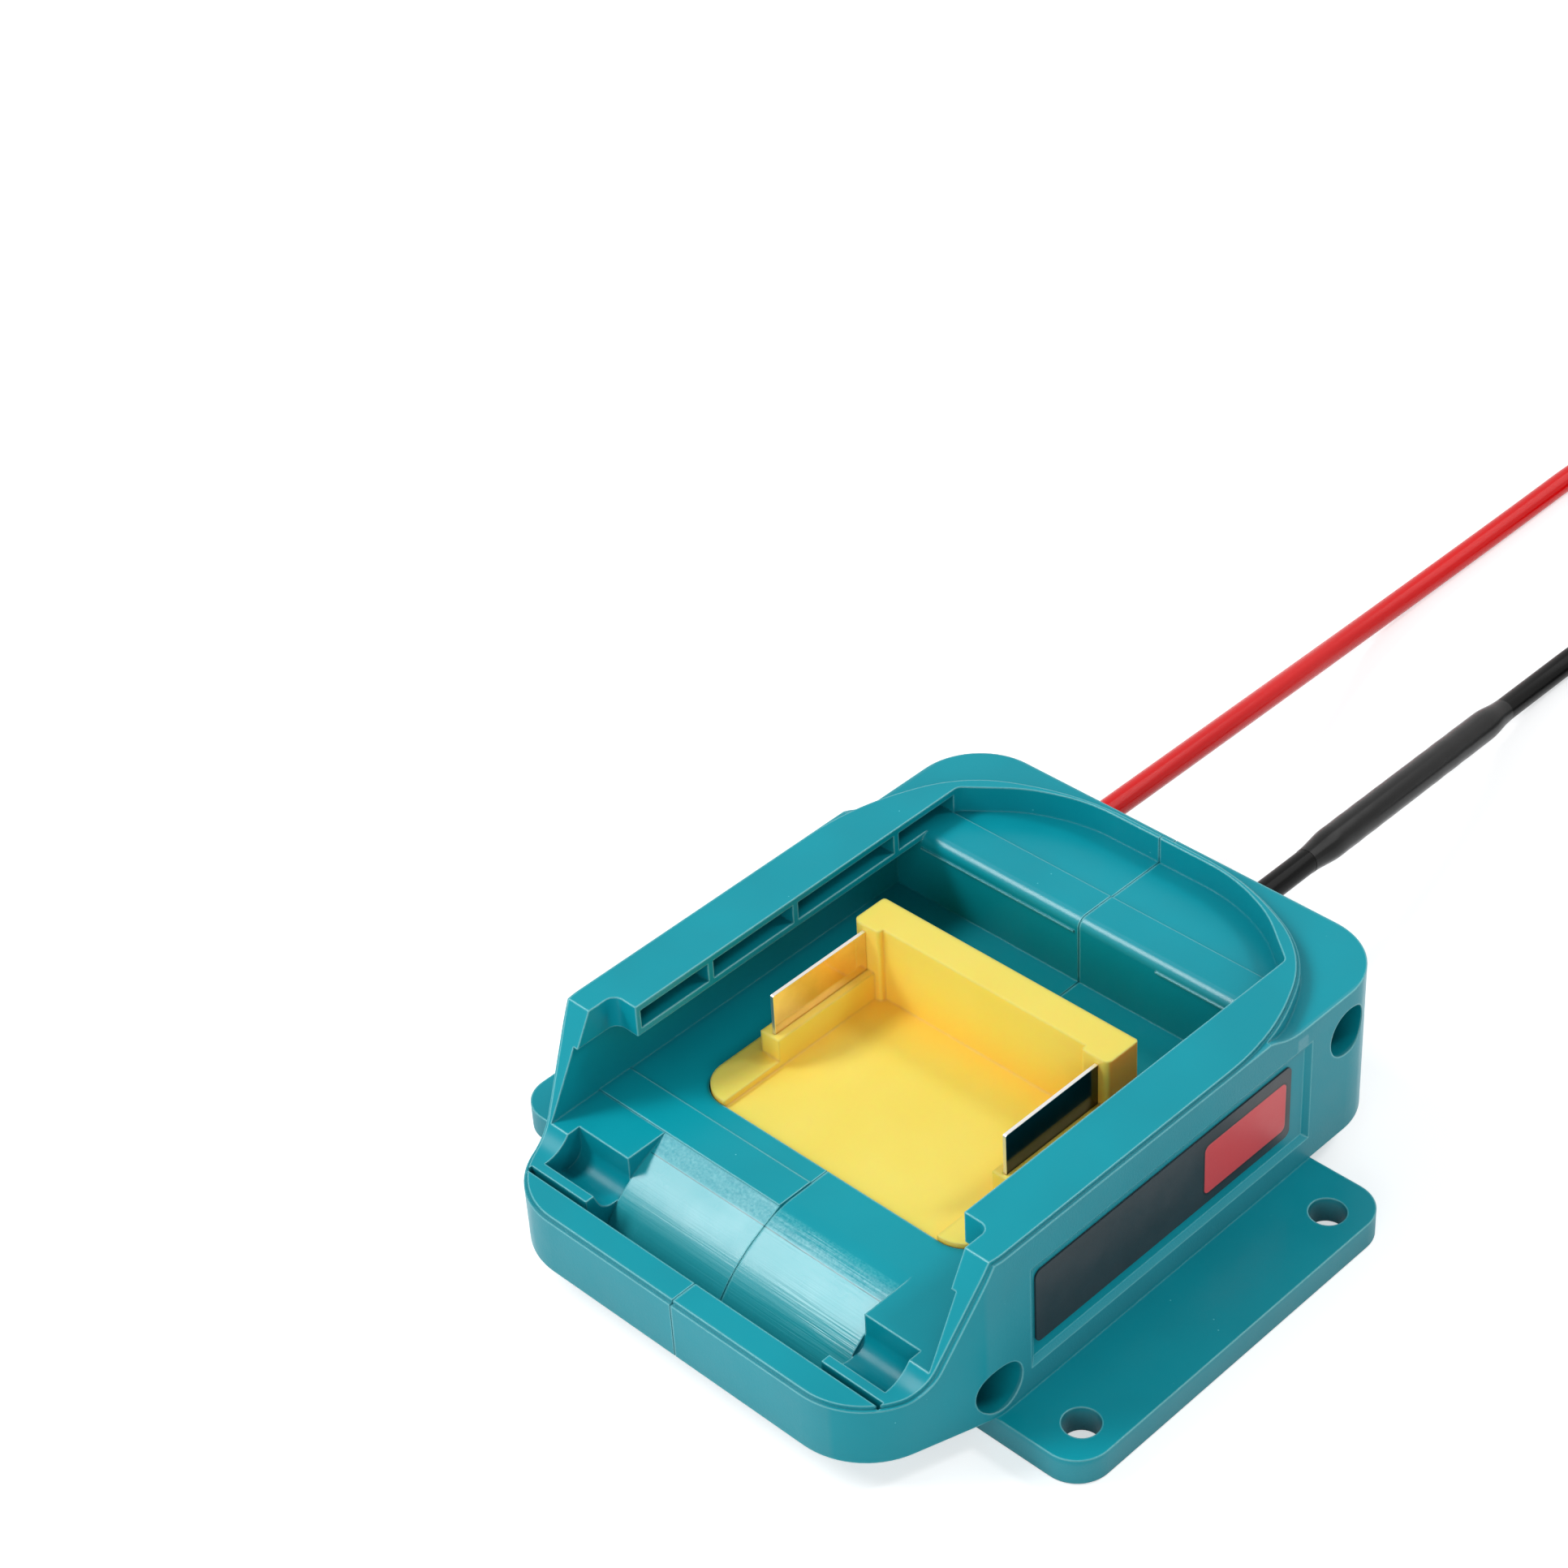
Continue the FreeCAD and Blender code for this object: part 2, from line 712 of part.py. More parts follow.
# Half on the red-wire side
red_room = box("red_room", (-OUTSIDE, -OUTSIDE, -10), (-seam, OUTSIDE, ABOVE))
red_parts = [common("red_shell", housing, red_room)]
red_holes = [cylinder("red_wire_hole", "y", (size("red_exit"), hollow_rear - 1, exit_height),
                      wire_hole, size("rear_skin") + 2)]
for place, along, up in screws:
    red_parts.append(cylinder("red_boss_" + place, "x", (-size("screw_socket"), along, up),
                              size("shank_boss_radius"), size("screw_socket")))
    red_holes.append(cylinder(
        "red_screw_socket_" + place, "x", (-size("screw_reach") - 1, along, up),
        size("screw_shank_radius") + size("screw_clearance"), size("screw_reach") + 2))
front_rest = front + size("front_rest_set")
side_rest = front + size("side_rest_set")
red_parts.append(box(
    "red_front_rest", (-size("front_rest_outer"), front_rest, rest_root),
    (-size("front_rest_inner"), front_rest + size("rest_thickness"), rest_top)))
red_parts.append(box(
    "red_side_rest", (-size("side_rest_outer"), side_rest, rest_root),
    (-size("side_rest_inner"), side_rest + size("side_rest_length"), rest_top)))
line_front = shelf_front - size("shelf_line_depth")
red_line_top = size("shelf_height") - size("shelf_line_red_drop")
red_parts.append(box(
    "red_shelf_line", (-gap_half, line_front, red_line_top - size("shelf_line_height")),
    (-size("shelf_line_red_start"), shelf_front + 1, red_line_top)))
red_parts.append(box(
    "red_floor_band", (-cavity_half - 1, front + size("ramp_top"), floor_top - 1),
    (-seam, front + size("floor_band_rear"), floor_top + size("floor_band_height"))))
red_solid = fuse("red_solid", red_parts)
red_half = cut("red_half", red_solid, fuse("red_holes", red_holes))
keep(red_half, "housing_half_red_side")

# Half on the black-wire side, which the screws enter
black_room = box("black_room", (seam, -OUTSIDE, -10), (OUTSIDE, OUTSIDE, ABOVE))
black_parts = [common("black_shell", housing, black_room)]
black_holes = [cylinder("black_wire_hole", "y",
                        (size("black_exit"), hollow_rear - 1, exit_height),
                        wire_hole, size("rear_skin") + 2)]
boss_start = size("screw_seat") - size("screw_seat_skin")
for place, along, up in screws:
    black_parts.append(cylinder("black_shank_boss_" + place, "x", (0, along, up),
                                size("shank_boss_radius"), boss_start + 1))
    black_parts.append(cylinder("black_boss_" + place, "x", (boss_start, along, up),
                                size("screw_boss_radius"), hollow_half + 0.5 - boss_start))
    black_holes.append(cylinder("black_shank_hole_" + place, "x", (-1, along, up),
                                size("screw_shank_radius") + size("screw_clearance"),
                                size("screw_seat") + 2))
    black_holes.append(cylinder("black_bore_" + place, "x", (size("screw_seat"), along, up),
                                size("screw_bore_radius"), half_width))
black_parts.append(box(
    "black_front_rest", (size("front_rest_inner"), front_rest, rest_root),
    (size("front_rest_outer"), front_rest + size("rest_thickness"), rest_top)))
black_parts.append(box(
    "black_side_rest", (size("side_rest_inner"), side_rest, rest_root),
    (size("side_rest_outer"), side_rest + size("side_rest_length"), rest_top)))
black_line_top = size("shelf_height") - size("shelf_line_black_drop")
black_line_low = black_line_top - size("shelf_line_height")
black_parts.append(box(
    "black_shelf_line", (size("shelf_line_black_start"), line_front, black_line_low),
    (gap_half, shelf_front + 1, black_line_top)))
black_solid = fuse("black_solid", black_parts)
black_half = cut("black_half", black_solid, fuse("black_holes", black_holes))
keep(black_half, "housing_half_black_side")

# Two cross-head screws that hold the halves together
screw_solids = []
for place, along, up in screws:
    shank = cylinder("screw_shank_" + place, "x", (-size("screw_reach"), along, up),
                     size("screw_shank_radius"), size("screw_reach") + size("screw_seat") + 0.5)
    head = cylinder("screw_head_" + place, "x", (size("screw_seat"), along, up),
                    size("screw_head_radius"), size("screw_head_height"))
    cross_low = size("screw_seat") + size("screw_head_height") - size("cross_slot_depth")
    cross_high = cross_low + size("cross_slot_depth") + 1
    wide = size("cross_slot_length") / 2
    thin = size("cross_slot_width") / 2
    cross_a = box("cross_a_" + place, (cross_low, along - wide, up - thin),
                  (cross_high, along + wide, up + thin))
    cross_b = box("cross_b_" + place, (cross_low, along - thin, up - wide),
                  (cross_high, along + thin, up + wide))
    body = fuse("screw_body_" + place, [shank, head])
    cross = fuse("cross_" + place, [cross_a, cross_b])
    screw_solids.append(cut("screw_" + place, body, cross))
screw_group = doc.addObject("Part::Compound", "screw_group")
screw_group.Links = screw_solids
keep(screw_group, "housing_screws")

# Terminal block: flanged base, low edges, blade ribs and tall rear wall
block_body = prism("block_body", "XY_Plane", [
    (-block_half, block_front, size("block_corner")),
    (block_half, block_front, size("block_corner")),
    (block_half, block_rear),
    (-block_half, block_rear),
], size("block_base"), size("block_edge_height"))
reach = size("block_flange_reach")
block_flange = box(
    "block_flange", (-block_half - reach, block_front - reach, size("block_base")),
    (block_half + reach, block_rear + reach,
     size("block_base") + size("block_flange_thickness")))
block_bed = box(
    "block_bed", (-size("block_inner_width") / 2, block_front - 1, size("block_floor")),
    (size("block_inner_width") / 2, block_rear - size("wall_from_rear"),
     size("block_edge_height") + 1))
inner_half = size("block_inner_width") / 2
rib_half = size("rib_width") / 2
wall_half = size("wall_width") / 2
wall_rear = block_rear - size("wall_from_rear")
wall_front = wall_rear - size("wall_thickness")
return_front = wall_rear - size("wall_return")
return_inner = wall_half - size("wall_return_thickness")
soft_rear = size("wall_rear_round")
soft_front = size("wall_front_round")
rear_wall = prism("rear_wall", "XY_Plane", [
    (wall_half, return_front, soft_front),
    (wall_half, wall_rear, soft_rear),
    (-wall_half, wall_rear, soft_rear),
    (-wall_half, return_front, soft_front),
    (-return_inner, return_front, soft_front / 2),
    (-return_inner, wall_front),
    (return_inner, wall_front),
    (return_inner, return_front, soft_front / 2),
], size("block_base") + 1, size("wall_height"))
rib_front = front + size("rib_front")
red_rib = box("red_rib", (-rib_half, rib_front, size("block_base") + 1),
              (-inner_half, wall_front, size("rib_height")))
black_rib = box("black_rib", (inner_half, rib_front, size("block_base") + 1),
                (rib_half, wall_front, size("rib_height")))
block_solid = fuse("block_solid", [cut("block_tray", block_body, block_bed), block_flange,
                                   red_rib, black_rib, rear_wall])
slot_gap = size("blade_slot_clearance")
blade_half = size("blade_thickness") / 2
blade_front = front + size("blade_front")
blade_rear = return_front - slot_gap
tail_front = blade_front + size("tail_from_blade_end")
tail_rear = tail_front + size("tail_width")
block_slots = []
for name, sign in (("red", -1), ("black", 1)):
    centre = size("blade_spacing") / 2 * sign
    block_slots.append(box(
        name + "_blade_slot",
        (centre - blade_half - slot_gap, blade_front - slot_gap, size("blade_shoulder")),
        (centre + blade_half + slot_gap, blade_rear + slot_gap, ABOVE)))
    block_slots.append(box(
        name + "_tail_slot",
        (centre - blade_half - slot_gap, tail_front - slot_gap, size("block_base") - 1),
        (centre + blade_half + slot_gap, tail_rear + slot_gap, size("blade_shoulder") + 1)))
block = cut("block", block_solid, fuse("block_slots", block_slots))
keep(block, "terminal_block")

# Contact blades with soldering tails
blades = {}
for name, sign in (("positive", -1), ("negative", 1)):
    centre = size("blade_spacing") / 2 * sign
    blades[name] = prism(name + "_blade_body", "YZ_Plane", [
        (blade_front, size("blade_shoulder")),
        (tail_front, size("blade_shoulder")),
        (tail_front, size("tail_end")),
        (tail_rear, size("tail_end")),
        (tail_rear, size("blade_shoulder")),
        (blade_rear, size("blade_shoulder")),
        (blade_rear, size("blade_top")),
        (blade_front, size("blade_top"), size("blade_corner")),
    ], centre - blade_half, centre + blade_half)
    keep(blades[name], name + "_blade")

# Side labels lying in their recesses
for name, sign, rear_set, length, tall in label_specs:
    label_rear = rear - rear_set
    label_front = label_rear - length
    label_high = label_low + tall
    soft = size("label_round")
    level = recess_bottom if sign > 0 else -recess_bottom - size("label_thickness")
    sticker = prism(name + "_sheet", "YZ_Plane", [
        (label_front, label_low, soft),
        (label_rear, label_low, soft),
        (label_rear, label_high, soft),
        (label_front, label_high, soft),
    ], level, level + size("label_thickness"))
    keep(sticker, name)

doc.recompute()


# Wires: straight runs joined by tangent arcs
def number(alias):
    return float(sheet.get(alias))


def route(points):
    """Wire along the points, each bend an arc as large as its two runs allow."""
    spots = [FreeCAD.Vector(*point) for point in points]
    edges = []
    radii = []
    cursor = spots[0]
    for i in range(1, len(spots) - 1):
        into = spots[i] - spots[i - 1]
        away = spots[i + 1] - spots[i]
        run = 0.45 * min(into.Length, away.Length)
        into.normalize()
        away.normalize()
        half_turn = into.getAngle(away) / 2
        radius = run / math.tan(half_turn)
        start = spots[i] - into * run
        end = spots[i] + away * run
        inward = away - into
        inward.normalize()
        middle = spots[i] + inward * (radius / math.cos(half_turn) - radius)
        edges.append(Part.LineSegment(cursor, start).toShape())
        edges.append(Part.Arc(start, middle, end).toShape())
        radii.append(radius)
        cursor = end
    edges.append(Part.LineSegment(cursor, spots[-1]).toShape())
    return Part.Wire(edges), radii


def tube(label, points, radius, bore=0.0):
    path, radii = route(points)
    heading = FreeCAD.Vector(*points[1]) - FreeCAD.Vector(*points[0])
    start = FreeCAD.Vector(*points[0])
    shapes = []
    for amount in (radius, bore):
        if amount > 0:
            ring_edge = Part.Circle(start, heading, amount).toShape()
            shapes.append(path.makePipeShell([Part.Wire([ring_edge])], True, False))
    solid = shapes[0]
    section = math.pi * radius ** 2
    if bore > 0:
        solid = shapes[0].cut(shapes[1])
        section -= math.pi * bore ** 2
    piece = doc.addObject("Part::Feature", label)
    piece.Shape = solid
    ratio = solid.Volume / (section * path.Length)
    print("%s: length %.1f, volume ratio %.4f, radii %s" % (
        label, path.Length, ratio, ", ".join("%.1f" % amount for amount in radii)))
    return keep(piece, label)


def tapered(solid, tip, toward, radius):
    """Turns the tube's end at tip into a cone that starts at radius."""
    first = FreeCAD.Vector(*tip)
    along = FreeCAD.Vector(*toward) - first
    full = number("sleeve_radius")
    reach = number("sleeve_taper")
    ring = Part.makeCylinder(full + 1, reach, first, along)
    return solid.cut(ring.cut(Part.makeCone(radius, full, reach, first, along)))


def between(first, second, share):
    return tuple(a + (b - a) * share for a, b in zip(first, second))


wire_r = number("wire_radius")
core_r = number("conductor_radius")
lie = wire_r + 0.02
rear_y = number("body_length") / 2
front_y = -rear_y
exit_z = number("wire_exit_height")
red_x = number("red_exit")
black_x = number("black_exit")
tail_y = front_y + number("blade_front") + number("tail_from_blade_end")
tail_face = number("blade_spacing") / 2 - number("blade_thickness") / 2
joint_x = tail_face - number("solder_film") - core_r
joint_z = number("joint_height")
core_start = tail_y + 1.0
core_end = core_start + number("inner_bare")
shelf_y = rear_y - number("shelf_depth")

# Leads inside the housing, from the blade tails to the holes in the rear wall
tube("red_inner_lead", [
    (-joint_x, core_end, joint_z),
    (-joint_x, shelf_y - 1.4, joint_z),
    (red_x, rear_y - 10.7, exit_z),
    (red_x, rear_y, exit_z),
], wire_r)
tube("black_inner_lead", [
    (joint_x, core_end, joint_z),
    (joint_x - 0.6, core_end + 9, joint_z),
    (9.5, shelf_y + 2.6, joint_z + 2.5),
    (black_x, rear_y - 7.7, exit_z),
    (black_x, rear_y, exit_z),
], wire_r)

# Stripped cores soldered to the inner faces of the tails
for name, sign in (("positive", -1), ("negative", 1)):
    colour = "red" if sign < 0 else "black"
    core = Part.makeCylinder(core_r, core_end - core_start,
                             FreeCAD.Vector(sign * joint_x, core_start, joint_z),
                             FreeCAD.Vector(0, 1, 0))
    core_piece = doc.addObject("Part::Feature", colour + "_inner_core")
    core_piece.Shape = core
    keep(core_piece, colour + "_inner_core")
    drop = Part.makeCylinder(number("solder_radius"), number("solder_length"),
                             FreeCAD.Vector(sign * joint_x, core_start + 0.5, joint_z),
                             FreeCAD.Vector(0, 1, 0))
    drop = drop.cut(core).cut(blades[name].Shape)
    solids = sorted(drop.Solids, key=lambda solid: solid.Volume)
    solder = doc.addObject("Part::Feature", colour + "_solder_joint")
    solder.Shape = solids[-1]
    keep(solder, colour + "_solder_joint")

# Free wires: level out of the wall, sinking to the surface that the part stands on, then
# one loose turn each
red_points = [
    (red_x, rear_y, exit_z),
    (red_x, rear_y + 11.3, exit_z),
    (-25.65, 97.0, 10.3),
    (-32.3, 138.0, 2.4),
    (-33.0, 176.0, lie),
    (-33.5, 202.0, lie),
    (-29.5, 214.7, lie),
    (-19.9, 223.5, lie),
    (-7.5, 226.3, lie),
    (4.3, 222.5, lie),
    (12.5, 213.5, lie),
    (15.0, 202.0, lie),
    (11.5, 191.0, lie),
    (3.2, 183.5, lie),
    (-7.5, 181.3, lie),
    (-17.6, 184.5, lie),
    (-24.5, 192.2, lie),
    (-26.5, 202.0, lie),
]
tube("red_wire", red_points, wire_r)
black_points = [
    (black_x, rear_y, exit_z),
    (black_x, rear_y + 10.3, exit_z),
    (3.37, 96.0, 10.5),
    (-2.66, 136.0, 2.4),
    (-3.0, 158.0, lie),
    (1.1, 171.2, lie),
    (11.1, 180.4, lie),
    (24.0, 183.3, lie),
    (36.3, 179.4, lie),
    (44.9, 170.0, lie),
    (47.5, 158.0, lie),
    (43.8, 146.5, lie),
    (35.2, 138.7, lie),
    (24.0, 136.3, lie),
    (13.4, 139.7, lie),
    (6.2, 147.7, lie),
    (4.0, 158.0, lie),
    (7.2, 167.7, lie),
    (14.6, 174.3, lie),
    (24.0, 176.3, lie),
    (32.8, 173.3, lie),
]
sleeve_start = between(black_points[1], black_points[2], 0.27)
sleeve_end = between(black_points[2], black_points[3], 0.83)
tube("black_wire_near", black_points[:2] + [sleeve_start], wire_r)
sleeve_points = [sleeve_start, black_points[2], sleeve_end]
tube("black_wire_sleeved", sleeve_points, wire_r)
sleeve_bore = wire_r + number("sleeve_bore_gap")
sleeve = tube("black_splice_sleeve", sleeve_points, number("sleeve_radius"), sleeve_bore)
for tip in (sleeve_start, sleeve_end):
    sleeve.Shape = tapered(sleeve.Shape, tip, black_points[2],
                           sleeve_bore + number("sleeve_end_skin"))
tube("black_wire_far", [sleeve_end] + black_points[3:], wire_r)
for colour, points in (("red", red_points), ("black", black_points)):
    tip = FreeCAD.Vector(*points[-1])
    heading = tip - FreeCAD.Vector(*points[-2])
    end = doc.addObject("Part::Feature", colour + "_bare_end")
    end.Shape = Part.makeCylinder(core_r, number("bare_end"), tip, heading)
    keep(end, colour + "_bare_end")

# Checks, then one file for each piece
for thing in doc.Objects:
    if "Invalid" in thing.State or "Error" in thing.State:
        raise RuntimeError("%s failed: %s" % (thing.Name, thing.State))
for piece in nodes:
    if piece.Shape.isNull() or not piece.Shape.isValid():
        raise RuntimeError("%s has no valid shape" % piece.Label)
os.makedirs("parts", exist_ok=True)
for piece in nodes:
    solids = piece.Shape.Solids
    print("%-26s solids %d volume %.1f" % (piece.Label, len(solids), piece.Shape.Volume))
    piece.Shape.exportStep("parts/%s.step" % piece.Label)
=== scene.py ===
import bmesh
import bpy
import json
import math
from mathutils import Euler, Matrix, Vector


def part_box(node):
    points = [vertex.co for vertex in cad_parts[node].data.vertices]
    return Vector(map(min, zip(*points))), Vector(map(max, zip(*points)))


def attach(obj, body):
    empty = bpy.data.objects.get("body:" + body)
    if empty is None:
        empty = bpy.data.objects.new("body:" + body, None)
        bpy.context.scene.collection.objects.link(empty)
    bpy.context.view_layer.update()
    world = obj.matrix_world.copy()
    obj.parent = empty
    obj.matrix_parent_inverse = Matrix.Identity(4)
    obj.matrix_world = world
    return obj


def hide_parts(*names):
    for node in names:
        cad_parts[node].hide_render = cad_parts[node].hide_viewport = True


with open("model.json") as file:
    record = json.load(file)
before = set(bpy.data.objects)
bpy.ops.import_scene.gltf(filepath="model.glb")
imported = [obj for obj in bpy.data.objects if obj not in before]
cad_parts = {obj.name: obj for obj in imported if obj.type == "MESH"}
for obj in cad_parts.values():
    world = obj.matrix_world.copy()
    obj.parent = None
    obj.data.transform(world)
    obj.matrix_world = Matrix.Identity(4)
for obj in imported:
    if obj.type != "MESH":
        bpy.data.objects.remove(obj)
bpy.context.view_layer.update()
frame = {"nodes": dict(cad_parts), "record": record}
scene = bpy.context.scene
nodes_of = frame["nodes"]

# Camera of the upright copy in the photograph
camera_data = bpy.data.cameras.new("camera")
camera_data.sensor_width = 36.0
camera_data.lens = 81.489
camera_data.clip_start = 0.01
camera = bpy.data.objects.new("camera", camera_data)
scene.collection.objects.link(camera)
camera.location = (0.238451, -0.248835, 0.325886)
camera.rotation_euler = Euler((0.924185, 0.052576, 0.774299), "XYZ")
scene.camera = camera
scene.view_settings.view_transform = "Standard"

# Wire routes: the same points as the part's source, in metres
LIE = 0.00187
RED_ROUTE = [
    (-0.0213, 0.0487, 0.0155),
    (-0.0213, 0.0600, 0.0155),
    (-0.02565, 0.0970, 0.0103),
    (-0.0323, 0.1380, 0.0024),
    (-0.0330, 0.1760, LIE),
    (-0.0335, 0.2020, LIE),
    (-0.0295, 0.2147, LIE),
    (-0.0199, 0.2235, LIE),
    (-0.0075, 0.2263, LIE),
    (0.0043, 0.2225, LIE),
    (0.0125, 0.2135, LIE),
    (0.0150, 0.2020, LIE),
    (0.0115, 0.1910, LIE),
    (0.0032, 0.1835, LIE),
    (-0.0075, 0.1813, LIE),
    (-0.0176, 0.1845, LIE),
    (-0.0245, 0.1922, LIE),
    (-0.0265, 0.2020, LIE),
]
BLACK_ROUTE = [
    (0.0071, 0.0487, 0.0155),
    (0.0071, 0.0590, 0.0155),
    (0.00337, 0.0960, 0.0105),
    (-0.00266, 0.1360, 0.0024),
    (-0.0030, 0.1580, LIE),
    (0.0011, 0.1712, LIE),
    (0.0111, 0.1804, LIE),
    (0.0240, 0.1833, LIE),
    (0.0363, 0.1794, LIE),
    (0.0449, 0.1700, LIE),
    (0.0475, 0.1580, LIE),
    (0.0438, 0.1465, LIE),
    (0.0352, 0.1387, LIE),
    (0.0240, 0.1363, LIE),
    (0.0134, 0.1397, LIE),
    (0.0062, 0.1477, LIE),
    (0.0040, 0.1580, LIE),
    (0.0072, 0.1677, LIE),
    (0.0146, 0.1743, LIE),
    (0.0240, 0.1763, LIE),
    (0.0328, 0.1733, LIE),
]
WIRE_RADIUS = 0.00185
CORD_RINGS = 24
CORD_BEVEL_STEPS = 10

# Bare strands: how many stand on each layer, its radius and its share of the twist
STRAND_LAYERS = ((1, 0.0, 0.0), (6, 0.00042, 0.7), (11, 0.00079, 1.0))
STRAND_RADIUS = 0.0002
STRAND_STEPS = 16
STRAND_SIDES = 8
STRAND_TURNS = 0.45
STRAND_OVERLAP = 0.0004
BARE_LENGTH = 0.008

# Shrunk sleeve
SLEEVE_RADIUS = 0.0024
SLEEVE_SKIN = 0.00003
SLEEVE_TAPER = 0.0065
SLEEVE_SHORTER = 0.0003
SLEEVE_SIDES = 32
SLEEVE_RIPPLE = 0.000025
RIPPLE_FAST = 2100.0
RIPPLE_SLOW = 830.0

# Where the black side's half has its seam face, and the tongue that closes the seam
SEAM_FACE_X = 0.0001
TONGUE_INSET = 0.00008
TONGUE_THICKNESS = 0.00018
SAME_PLACE = 1e-6

# Places on the housing that its material picks out, each from and to
SIDE_WALL_X = (0.0364, 0.0366)
FLANGE_TOP_Z = (0.0042, 0.0046)
FRONT_WALL_Y = (-0.0481, -0.0478)
REAR_WALL_Y = (0.0482, 0.0485)
UNDERSIDE_Z = (0.0030, 0.0036)
RAMP_X = (-0.0205, 0.0205)
RAMP_Y = (-0.0440, -0.0292)
RAMP_Z = (0.0045, 0.0153)
CREST_Y = (-0.0319, -0.0316)
CREST_LINE_Y = (-0.03200, -0.03192)
NOSING_Y = (0.0279, 0.0298)
NOSING_Z = (0.0246, 0.0263)
MARK_BLUR = 0.0002
BLOCK_ENDS_X = (0.0205, 0.0215)

# Colours of the teal and the yellow plastic, and the painted highlights and painted shade
# mixed into them
TEAL = ((0.002, 0.320, 0.400), (0.003, 0.350, 0.435))
TEAL_SPECK = (0.12, 0.62, 0.68)
TEAL_PAINTED_EDGE_HIGHLIGHT = (0.34, 0.90, 0.94)
TEAL_PAINTED_SHADE = (0.0, 0.105, 0.130)
TEAL_PAINTED_RAMP_HIGHLIGHT = (0.06, 0.60, 0.64)
TEAL_MOTTLE = (0.10, 0.62, 0.66)
TEAL_PAINTED_CREASE_SHADE = (0.0, 0.10, 0.13)
GRAINED_GREY_AND_PAINTED_VEIL = (0.50, 0.50, 0.50)
YELLOW = ((0.95, 0.765, 0.130), (0.97, 0.795, 0.150))
YELLOW_PAINTED_EDGE_HIGHLIGHT = (0.95, 0.80, 0.26)
YELLOW_PAINTED_SHADE = (1.0, 0.50, 0.040)
YELLOW_PAINTED_SIDE_SHADE = (1.0, 0.36, 0.030)

# Metals: the sheared edges of a blade, and how much darker the tarnish is
SHEARED = (0.80, 0.78, 0.74)
SHEARED_EDGE = (0.00008, 0.00012)
TARNISH = 0.86

# Labels
SLATE = ((0.016, 0.022, 0.028), (0.024, 0.033, 0.041))
PANEL_RIM = (0.006, 0.007, 0.008)
PANEL_CORNER = 0.0009

# Light and floor: the floor's own glow is only for rays that see it
FLOOR_SIZE = 8.0
FLOOR_BELOW = 0.0002
FLOOR_GREY = ((0.74, 0.74, 0.74), (0.76, 0.76, 0.76))
FLOOR_GLOW = (0.97, 0.99, 1.0, 1.0)
FLOOR_LIFT = 0.60
FAR_LIFT = 0.84
FAR_FLOOR = (0.7, 2.0)
AMBIENT = 0.22

# Lamps: name, place, size, watts and the direction of the width
LAMPS = (
    ("key", (-0.553, -0.44, 0.843), (0.62, 0.22), 6.2, (0.0, -0.715, -0.36)),
    ("rear_fill", (0.2, 0.9, 0.7), (0.8, 0.4), 2.0, (1.0, 0.0, 0.0)),
    ("front_fill", (0.5, -1.0, 0.45), (0.9, 0.7), 4.8, (1.0, 0.5, 0.0)),
    ("edge_light", (0.38, 0.57, 0.87), (0.2, 0.2), 2.4, (1.0, 0.0, 0.0)),
)

BLADE_LOW, BLADE_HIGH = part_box("positive_blade")
BLADE_FRONT = BLADE_LOW[1]
BLADE_TOP = BLADE_HIGH[2]


def add_node(tree, kind, options):
    node = tree.nodes.new("ShaderNode" + kind)
    for key, value in options.items():
        setattr(node, key, value)
    return node


